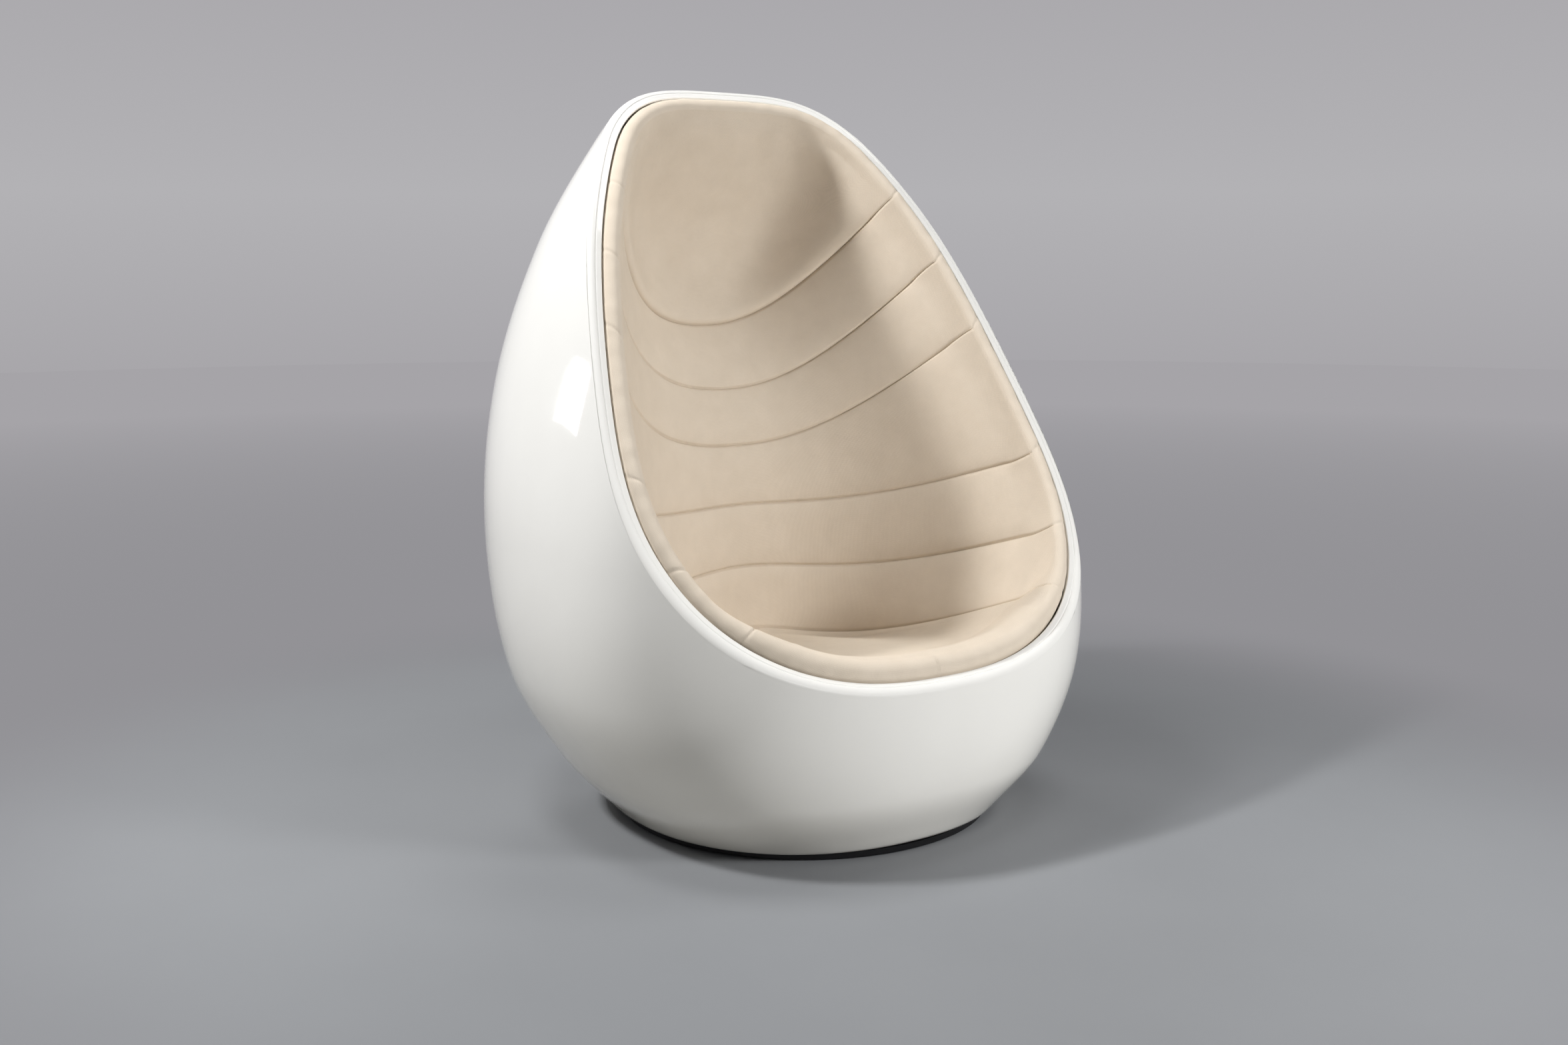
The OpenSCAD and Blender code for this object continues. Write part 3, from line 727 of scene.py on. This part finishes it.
class POD_OT_shell(bpy.types.Operator):
    """Builds the gelcoated egg with its rounded lip, turned-in edge and floor"""
    bl_idname = "pod.shell"
    bl_label = "Egg Shell"
    FOOT_ROUND = 0.012
    # The turned-down foot rim: shares of the foot's outline and heights over its plane
    FOOT_RIM = ((0.955, 0), (0.957, -0.0055), (0.962, -0.007), (0.975, -0.0065), (0.988, -0.0045),
                (1.0, 0.0003))
    WALL_ROWS = 110
    EDGE_ROWS = 11
    LIP_ROWS = 28
    CORNER_ROWS = 7
    INNER_ROWS = 30
    WALL_BIAS = 0.93
    WARP_FROM = math.radians(80)
    WARP = 1.45
    PARTING_AT = 0.0125
    PARTING_DEPTH = 0.0009
    PAST_EDGE = 0.001
    INNER_EDGE_R = 0.002
    # As shares of the edge's rounding: the inner corner's drop, and where the inner wall starts
    CORNER_DROP = 1 / 3
    INNER_TOP = 3
    SHARP = math.radians(50)

    def column_turns(self, count):
        """Turns round the opening, closer together at the blunt top."""
        u = 2 * math.pi * np.arange(count) / count
        b = np.where(u > math.pi, 2 * math.pi - u, u)
        left = math.pi - self.WARP_FROM
        warped = math.pi - left * (np.maximum(0, math.pi - b) / left) ** self.WARP
        a = np.where(b < self.WARP_FROM, b, warped)
        return np.where(u > math.pi, 2 * math.pi - a, a)

    def lip_profile(self, s):
        """The lip as pairs of inwards and out: flat with one fine line, then a small rounding into
        the turned-in edge."""
        r, inner, low = self.INNER_EDGE_R, s.lip_w - s.wall, -s.lip_depth
        flat = np.linspace(s.edge_r + self.PAST_EDGE, s.lip_w - r, self.LIP_ROWS)
        groove = -self.PARTING_DEPTH * np.exp(-((flat - self.PARTING_AT) / (s.parting_w / 2)) ** 2)
        arc = np.linspace(0, math.pi / 2, self.CORNER_ROWS)[1:]
        corner = np.stack([s.lip_w - r * (1 - np.sin(arc)), -r * (1 - np.cos(arc))], -1)
        down = [(s.lip_w, low / 2), (s.lip_w, low), (inner, low), (inner, -s.wall)]
        return np.concatenate([np.stack([flat, groove], -1), corner, down])

    def rings(self, s, egg, turns):
        """The shell's rings: out under the foot, up the wall, over the edge and the lip, and down the
        inside."""
        rim, inwards, out = egg.rim_axes(turns)
        headings, down = egg.rim_heading(turns), egg.wall_down(turns)
        foot = egg.point(FOOT_Z + 0 * headings, headings)[:, :2]
        hole = s.foot_hole_r * np.stack([np.cos(headings), np.sin(headings)], -1)

        def level(outline, rise):
            return np.pad(outline, [(0, 0), (0, 1)], constant_values=FOOT_Z + rise)

        yield level(hole, 0)
        for share, rise in self.FOOT_RIM:
            yield level(foot * share, rise)
        foot_low, wall_top = FOOT_Z + self.FOOT_ROUND, (rim + s.edge_r * down)[:, 2]
        for i in range(self.WALL_ROWS):
            yield egg.point(lerp(foot_low, wall_top, (i / self.WALL_ROWS) ** self.WALL_BIAS), headings)
        for b in np.linspace(0, math.pi / 2, self.EDGE_ROWS):
            yield rim + s.edge_r * ((1 - math.sin(b)) * down + (1 - math.cos(b)) * inwards)
        for i, o in self.lip_profile(s):
            yield rim + i * inwards + o * out
        slant = s.wall / np.linalg.norm(np.cross(down, inwards), axis=-1, keepdims=True)
        yield rim + (down + inwards) * slant + s.edge_r * self.CORNER_DROP * down
        inner_top = (rim + self.INNER_TOP * s.edge_r * down)[:, 2]
        for i in reversed(range(self.INNER_ROWS)):
            z = lerp(foot_low, inner_top, i / self.INNER_ROWS)
            yield egg.point(z, headings) - s.wall * egg.normal(z, headings)
        yield level(foot * self.FOOT_RIM[0][0], s.wall)
        yield level(hole, s.wall)

    def execute(self, context):
        s = context.scene.pod_shell
        rings = list(self.rings(s, Egg(s), self.column_turns(s.columns)))
        faces = grid_faces(len(rings), s.columns, wrap_rows=True, wrap_columns=True)
        shell = clear_mesh("egg_shell", rings, faces, sharp=self.SHARP)
        set_material(shell, polished_gelcoat(s.gelcoat))
        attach(shell, "pod")
        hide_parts("outer_shell")
        return {"FINISHED"}


class POD_OT_pads(bpy.types.Operator):
    """Builds the seat, the five channelled bands and the head panel"""
    bl_idname = "pod.pads"
    bl_label = "Seat and Back Pads"
    BOND_GAP = 0.0008
    LINER_T = 0.006
    SEAT_POWER = 6
    EDGE_RATE = 3
    HEMS = 4
    HEM_GAP = 0.0008
    SEAM_HEM = 0.5
    HELD = 0.012
    FRAMES = 20
    PRESSURE = 4.0
    BROAD_PRESSURE = 0.7
    CLOTH = {"use_pressure": True, "tension_stiffness": 12, "compression_stiffness": 12,
             "bending_stiffness": 3.0, "shrink_min": 0.004, "quality": 5}
    # Times that the blown cloth is eased, up the back and across it
    EASE = (14, 90)

    def execute(self, context):
        egg = Egg(context.scene.pod_shell)
        c = context.scene.pod_cloth
        sheet = Sheet(Bucket(RollLine(egg, c)))
        cloth = wool_cloth(c.cloth, c.thread)
        under = self.under(sheet)
        for i, name in enumerate(PAD_NAMES):
            rows = slice(i * sheet.CELLS, (i + 1) * sheet.CELLS + 1)
            self.make(sheet, under, rows, name, cloth)
        return {"FINISHED"}

    def under(self, sheet):
        """The foam's underside: the bucket sunk by the foam's thickness, the seat's nearly up to the
        first seam, and thinner over the outer third of each side."""
        bucket, c = sheet.bucket, sheet.bucket.c
        edge = c.shadow_gap + c.roll_w - self.LINER_T - self.BOND_GAP
        foam = lerp(c.seat_foam, c.back_foam, np.clip(sheet.g, 0, 1) ** self.SEAT_POWER)
        depth = lerp(edge, foam, smooth(self.EDGE_RATE * (1 - np.abs(sheet.c))))
        base = bucket.point(sheet.g, sheet.c)
        inset = bucket.egg.s.lip_w + self.BOND_GAP + self.LINER_T
        rim = bucket.egg.at_rim(sheet.turn, inset, -bucket.drop)
        return np.where(self.outer(sheet)[..., None], rim, base - depth[..., None] * sheet.normals(base))

    @staticmethod
    def outer(sheet):
        """Places on the cloth's outer border."""
        return (np.abs(sheet.c) == 1) | (sheet.g == 0) | (sheet.g == sheet.bucket.last)

    def closed(self, sheet, under, rows):
        """One pad closed by hems down the roll's inner side or down the seam. Returns its points,
        faces, UV map and border on the roll."""
        top, low, turn = sheet.top[rows].reshape(-1, 3), under[rows].reshape(-1, 3), sheet.turn[rows]
        count, columns = turn.shape
        total = count * columns
        border = np.concatenate([
            np.arange(columns), np.arange(1, count) * columns + columns - 1,
            total - 2 - np.arange(columns - 1), np.arange(count - 2, 0, -1) * columns])
        outer = self.outer(sheet)[rows].ravel()[border]
        at = turn.ravel()[border]
        hems = []
        for k in np.linspace(0, 1, self.HEMS + 1)[1:]:
            angle = (1 - k) * sheet.roll.by_turn(sheet.roll.MEET, at)
            wrapped = sheet.bucket.egg.at_rim(at, *sheet.roll.arc(at, angle, -self.HEM_GAP))
            between = lerp(top[border], low[border], k * self.SEAM_HEM)
            hems.append(np.where(outer[:, None], wrapped, between))
        rings = np.arange(self.HEMS * len(border)).reshape(self.HEMS, -1) + 2 * total
        loop = np.vstack([border, rings, total + border])
        after = np.roll(loop, -1, 1)
        walls = np.stack([loop[:-1], loop[1:], after[1:], after[:-1]], -1).reshape(-1, 4)
        foam = grid_faces(count, columns, total, flip=True)
        faces = np.concatenate([grid_faces(count, columns), foam, walls])
        uv = sheet.uv[rows].reshape(-1, 2)
        uv = np.concatenate([uv, uv, np.tile(uv[border], (self.HEMS, 1))])
        return np.concatenate([top, low, *hems]), faces, uv, border[outer]

    def make(self, sheet, under, rows, name, cloth):
        """One pad, blown up by its padding, with its seams sewn in."""
        points, faces, uv, kept = self.closed(sheet, under, rows)
        pad = clear_mesh(name + "_cloth", points, faces, uv)
        total = sheet.turn[rows].size
        rise = 0
        held = self.held(sheet, rows, len(points))
        broad = name in (PAD_NAMES[0], PAD_NAMES[-1])
        blown = self.inflate(pad, held, self.BROAD_PRESSURE if broad else self.PRESSURE)
        rise = self.rise(sheet, rows, held[:total], (blown - points)[:total])
        out = (rise - sheet.groove()[rows])[..., None] * sheet.normals(sheet.top)[rows]
        points[:total] += out.reshape(-1, 3)
        pad.data.vertices.foreach_set("co", points.ravel())
        pad.data.update()
        self.crease(pad, kept)
        finer = pad.modifiers.new("finer", "SUBSURF")
        finer.levels = finer.render_levels = 1
        set_material(pad, cloth)
        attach(pad, "pod")
        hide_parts(name)

    def held(self, sheet, rows, count):
        """What the foam and the stitches hold: everything but the cloth between the seams."""
        near = np.minimum(sheet.side, sheet.border())[rows].ravel() < self.HELD
        seam = sheet.seam[rows].ravel() == 0
        held = np.ones(count, bool)
        held[:len(near)] = near | seam
        return held

    def inflate(self, pad, held, pressure):
        """Blows the cloth up between its stitches with Blender's cloth."""
        group = pad.vertex_groups.new(name="held")
        group.add(np.flatnonzero(held).tolist(), 1.0, "REPLACE")
        cloth = pad.modifiers.new("padding", "CLOTH")
        for key, value in self.CLOTH.items():
            setattr(cloth.settings, key, value)
        cloth.settings.vertex_group_mass = group.name
        cloth.settings.uniform_pressure_force = pressure
        cloth.settings.effector_weights.gravity = 0
        cloth.point_cache.frame_end = self.FRAMES
        for step in range(1, self.FRAMES + 1):
            bpy.context.scene.frame_set(step)
        blown = np.empty(len(held) * 3)
        pad.evaluated_get(bpy.context.evaluated_depsgraph_get()).data.vertices.foreach_get("co", blown)
        pad.modifiers.remove(cloth)
        pad.vertex_groups.remove(group)
        bpy.context.scene.frame_set(1)
        return blown.reshape(-1, 3)

    def rise(self, sheet, rows, held, move):
        """How far the blown cloth stands out: its outward move, eased so that fine creases go, then
        limited as puff tanh(rise / puff)."""
        normals = sheet.normals(sheet.top)[rows]
        free = ~held.reshape(normals.shape[:2])
        rise = np.maximum(0, (move.reshape(normals.shape) * normals).sum(-1))
        for axis, times in enumerate(self.EASE):
            for _ in range(times):
                rise = free * (np.roll(rise, 1, axis) + 2 * rise + np.roll(rise, -1, axis)) / 4
        puff = sheet.bucket.c.puff
        return puff * np.tanh(rise / puff)

    def crease(self, pad, kept):
        """Keeps the border on the roll sharp when the mesh is made finer."""
        mesh = pad.data
        ends = np.empty(len(mesh.edges) * 2, np.int32)
        mesh.edges.foreach_get("vertices", ends)
        marked = np.zeros(len(mesh.vertices), bool)
        marked[kept] = True
        sharp = marked[ends.reshape(-1, 2)].all(1)
        marks = ("crease_edge", "FLOAT", sharp.astype(np.float32)), ("sharp_edge", "BOOLEAN", sharp)
        for name, kind, values in marks:
            mesh.attributes.new(name, kind, "EDGE").data.foreach_set("value", values)


class POD_OT_roll(bpy.types.Operator):
    """Builds the padded roll round the opening"""
    bl_idname = "pod.roll"
    bl_label = "Edge Roll"
    COLUMNS = 1400
    ARC_STEPS = 18
    INNER_STEPS = 6
    # Heights of the flat sides' middle rows, at the gap and at the panels
    SIDE_SHARES = (0.6, 0.5)
    SHARP = math.radians(70)
    TUCK = 0.0018
    TUCK_TURN = math.radians(24)
    LIP_SHARES = (0.086, 0.199, 0.350, 0.590, 0.712, 0.830)
    LIP_PINCH = 0.0009
    PINCH_W = 0.0045
    RIPPLES = ((0.061, 0.0), (0.037, 1.3), (0.143, 0.6))
    RIPPLE = 0.0003

    def pinch(self, c, turns, run, across):
        """Depth of the pinches that the seams pull into the roll, from each seam's end, at an across
        of 1, to the lip, at 0."""
        depth, width = lerp(self.LIP_PINCH, c.roll_groove, across), lerp(self.PINCH_W, c.seam_w, across)
        pinch = 0
        for shares in zip(self.LIP_SHARES, SEAM_RIM_SHARES):
            for side in (1, -1):
                at = np.mod(side * np.arccos(1 - 2 * np.array(shares)), 2 * math.pi)
                lip, seam = np.interp(at, np.append(turns, 2 * math.pi), run)
                away = np.abs(run[:-1, None] - lerp(lip, seam, across))
                pinch = pinch + depth * np.exp(-(away / width) ** 2)
        return pinch

    def execute(self, context):
        s, c = context.scene.pod_shell, context.scene.pod_cloth
        egg = Egg(s)
        roll = RollLine(egg, c)
        turns = 2 * math.pi * np.arange(self.COLUMNS) / self.COLUMNS
        rim, inwards, out = egg.rim_axes(turns)
        run = np.append(0, np.cumsum(np.linalg.norm(np.roll(rim, -1, 0) - rim, axis=-1)))
        turn = turns[:, None]
        meet = roll.by_turn(roll.MEET, turn)
        over = np.linspace(0, 1, self.ARC_STEPS)
        inner = np.linspace(1, 0, self.INNER_STEPS + 1)[1:]
        angle = np.concatenate([lerp(math.pi, meet, over), inner * meet], 1)
        grow = -self.TUCK * smooth((meet - angle) / self.TUCK_TURN)
        grow = grow - self.pinch(c, turns, run, np.append(over, np.ones(self.INNER_STEPS)))
        ripple = sum(np.sin(2 * math.pi * run[:-1] / w + p) for w, p in self.RIPPLES)[:, None]
        swing = np.sin(math.pi * np.minimum(1, (math.pi - angle) / (math.pi - meet)))
        i, o = roll.arc(turn, angle, grow + self.RIPPLE * ripple * swing)
        near, far = roll.near + 0 * turn, roll.near + roll.width(turn) - self.TUCK
        low, middle = -c.roll_seat + 0 * turn, roll.height(turn) - roll.width(turn) / 2
        at_gap, at_panels = [lerp(low, middle, share) for share in self.SIDE_SHARES]
        i = np.concatenate([near, near, i, far, far], 1)
        o = np.concatenate([low, at_gap, o, at_panels, low], 1)
        points = rim[:, None] + i[..., None] * inwards[:, None] + o[..., None] * out[:, None]
        girth = path_length(points, 1)
        uv = np.stack([girth, np.broadcast_to(run[:-1, None], girth.shape)], -1).reshape(-1, 2)
        faces = grid_faces(self.COLUMNS, i.shape[1], wrap_rows=True, wrap_columns=True)
        cover = clear_mesh("edge_roll_cloth", points, faces, uv, sharp=self.SHARP)
        set_material(cover, bpy.data.materials["cream_wool_cloth"])
        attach(cover, "pod")
        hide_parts("edge_roll")
        return {"FINISHED"}


class POD_OT_base(bpy.types.Operator):
    """Finishes the disc, the ball ring, the board, the ribs and the bucket"""
    bl_idname = "pod.base"
    bl_label = "Base and Frame"
    ZINC = ("lower_race", "lower_race_screws", "upper_race", "pod_bolts", "pod_t_nuts")
    BIRCH = ("floor_board", "seat_rib_left", "seat_rib_right", "seat_rib_cross")

    def execute(self, context):
        zinc = metal("spangled_zinc_plate", "#B4B8BC", 0.34, 60)
        birch = birch_plywood("#D8BF94")
        finishes = {
            "floor_disc": lacquered_board("#0D0D0F"),
            "floor_sheet": ground_rubber("#202022"),
            "bearing_balls": metal("polished_bearing_steel", "#D0D2D4", 0.08, 900),
            "ball_cage": metal("rolled_brass_sheet", "#B08D3C", 0.28, 30, (1, 8, 1)),
            "inner_liner": chopped_strand("#C9C6B4"),
            **dict.fromkeys(self.ZINC, zinc),
            **dict.fromkeys(self.BIRCH, birch),
        }
        for node, material in finishes.items():
            set_material(NODES[node], material)
        return {"FINISHED"}


class POD_OT_stage(bpy.types.Operator):
    """Builds the floor, the backdrop's colour, the lamps and the camera"""
    bl_idname = "pod.stage"
    bl_label = "Stage"
    SENSOR = 36.0
    LAMPS = (
        # name, aim, azimuth and elevation in degrees, distance, width, height, watts, mirrored
        ("left_key", (0, 0, 0.6), -104, 43, 3.0, 0.3, 0.3, 69, False),
        ("left_top_softbox", (0, 0, 0.6), -120, 66, 3.0, 0.7, 0.7, 28, False),
        ("right_key", (0, 0, 0.6), 25, 13, 3.0, 0.6, 0.6, 57, False),
        ("front_strip", (0, 0, 0.6), 10, 11, 3.0, 3.0, 0.14, 6, True),
        ("right_top_softbox", (0, 0, 0.6), 60, 70, 3.0, 1.0, 1.0, 14, True),
        ("rear_softbox", (0, 0, 0.6), 160, 32, 3.0, 1.2, 1.2, 20, False),
        ("rear_strip", (-0.45, 0, 0.75), -151.3, 8.2, 2.5, 0.2, 0.2, 4, True),
    )
    WORLD_STRENGTH = 0.03
    FLOOR_SIDES = 96
    FLOOR_CLOUD = 1.5
    # Where the backdrop has its own colour, as a share of the way out over the floor
    FLOOR_TURNED = 0.6
    # Sines of the heights where the backdrop's colours start and end, and the share at its lightest
    SKY = (-0.08, 0.22)
    SKY_LIGHTEST = 0.4

    def execute(self, context):
        s = context.scene.pod_stage
        self.floor(s)
        self.world(s)
        self.lamps()
        self.camera(s)
        context.scene.view_settings.view_transform = "Standard"
        return {"FINISHED"}

    def floor(self, s):
        """Studio paper: plain near the chair, and the backdrop's own colour further off."""
        sides = self.FLOOR_SIDES
        angle = 2 * math.pi * np.arange(sides) / sides
        ring = s.floor_r * np.stack([np.cos(angle), np.sin(angle), 0 * angle], -1)
        faces = [(0, i + 1, (i + 1) % sides + 1) for i in range(sides)]
        floor = clear_mesh("studio_floor", [(0, 0, 0), *ring], faces)
        base = linear(s.floor)
        finish = Finish("studio_paper", Roughness=0.75, Specular_IOR_Level=0.3)
        cloud = finish.noise(self.FLOOR_CLOUD, 4)
        seen = finish.seen()
        paper = finish.ramp(cloud, (0.3, shade(base, 0.97)), (0.7, shade(base, 1.03)))
        thrown = linear(s.floor_light)
        tone = finish.add("ShaderNodeMix", {6: thrown}, {0: seen, 7: paper}, data_type="RGBA").outputs[2]
        finish.drive("Base Color", tone)
        distance = finish.add("ShaderNodeVectorMath", links={0: finish.place}, operation="LENGTH")
        far, rise = [finish.span(distance.outputs["Value"], *ends, interpolation_type="SMOOTHSTEP")
                     for ends in ((s.floor_near, s.floor_far), (s.floor_far, s.floor_r))]
        foot, horizon = linear(s.backdrop_foot), linear(s.backdrop)
        backdrop = finish.ramp(rise, (0.0, foot), (self.FLOOR_TURNED, horizon))
        glow = finish.add("ShaderNodeEmission", links={"Color": backdrop})
        finish.show("Material Output", finish.combine("MULTIPLY", far, seen), finish.shader, glow)
        set_material(floor, finish.material)
        floor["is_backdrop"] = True

    def world(self, s):
        """Grey paper backdrop to the camera, and an even soft fill on the chair."""
        world = bpy.data.worlds.new("studio")
        world.use_nodes = True
        sky = Nodes(world.node_tree)
        direction = sky.add("ShaderNodeTexCoord").outputs["Generated"]
        height = sky.span(sky.add("ShaderNodeSeparateXYZ", links={0: direction}).outputs["Z"], *self.SKY)
        horizon, top = linear(s.backdrop), linear(s.backdrop_top)
        paper = sky.ramp(height, (0.0, horizon), (self.SKY_LIGHTEST, top), (1.0, horizon))
        plain = sky.add("ShaderNodeBackground", {"Color": grey(1.0), "Strength": self.WORLD_STRENGTH})
        shown = sky.add("ShaderNodeBackground", links={"Color": paper})
        sky.show("World Output", sky.seen(), plain, shown)
        bpy.context.scene.world = world

    def lamps(self):
        """Rectangular softboxes, each turned to its aim."""
        for name, aim, azimuth, elevation, distance, width, height, watts, mirrored in self.LAMPS:
            a, e = math.radians(azimuth), math.radians(elevation)
            way = Vector((math.sin(a) * math.cos(e), -math.cos(a) * math.cos(e), math.sin(e)))
            data = bpy.data.lights.new(name, "AREA")
            data.shape, data.size, data.size_y = "RECTANGLE", width, height
            data.energy = watts
            lamp = add_object(name, data)
            lamp.location = Vector(aim) + distance * way
            lamp.rotation_mode = "QUATERNION"
            lamp.rotation_quaternion = (-way).to_track_quat("-Z", "Y")
            lamp.visible_glossy = mirrored
            lamp.visible_camera = False

    def camera(self, s):
        """The photograph's view: turned round the axis, tilted down, then rolled."""
        data = bpy.data.cameras.new("camera")
        data.sensor_width, data.lens = self.SENSOR, s.lens
        camera = add_object("camera", data)
        turn = Matrix.Rotation(s.azimuth, 4, "Z")
        place = turn @ Vector((0, -s.distance, s.height))
        pan, roll = Matrix.Rotation(s.pan, 4, "Z"), Matrix.Rotation(s.roll, 4, "Z")
        camera.matrix_world = (Matrix.Translation(place) @ turn @ pan
                               @ Matrix.Rotation(math.pi / 2 - s.pitch, 4, "X") @ roll)
        bpy.context.scene.camera = camera


class POD_PT_panel(bpy.types.Panel):
    """Lists the steps that build the chair"""
    bl_idname = "POD_PT_panel"
    bl_label = "Pod Chair"
    bl_space_type = "VIEW_3D"
    bl_region_type = "UI"
    bl_category = "Pod Chair"

    def draw(self, context):
        for step in STEPS:
            self.layout.operator(step)
        for group in (context.scene.pod_shell, context.scene.pod_cloth, context.scene.pod_stage):
            box = self.layout.box()
            for key in group.__annotations__:
                box.prop(group, key)


STEPS = ("pod.stage", "pod.shell", "pod.pads", "pod.roll", "pod.base")
GROUPS = {"pod_shell": PodShellSettings, "pod_cloth": PodClothSettings, "pod_stage": PodStageSettings}
CLASSES = (*GROUPS.values(), POD_OT_stage, POD_OT_shell, POD_OT_pads, POD_OT_roll, POD_OT_base, POD_PT_panel)


def register():
    """Adds the settings, the steps and the panel."""
    for each in CLASSES:
        bpy.utils.register_class(each)
    for name, group in GROUPS.items():
        setattr(bpy.types.Scene, name, PointerProperty(type=group))


def unregister():
    """Takes them away again."""
    for name in GROUPS:
        delattr(bpy.types.Scene, name)
    for each in reversed(CLASSES):
        bpy.utils.unregister_class(each)


def main():
    """Builds the chair in order."""
    register()
    for step in STEPS:
        family, name = step.split(".")
        getattr(getattr(bpy.ops, family), name)()
    bpy.context.view_layer.update()
    boxes = {"cad": CAD_BOX, "visual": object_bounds()}
    {k: [list(corner) for corner in box] for k, box in boxes.items()}


if __name__ == "__main__":
    main()
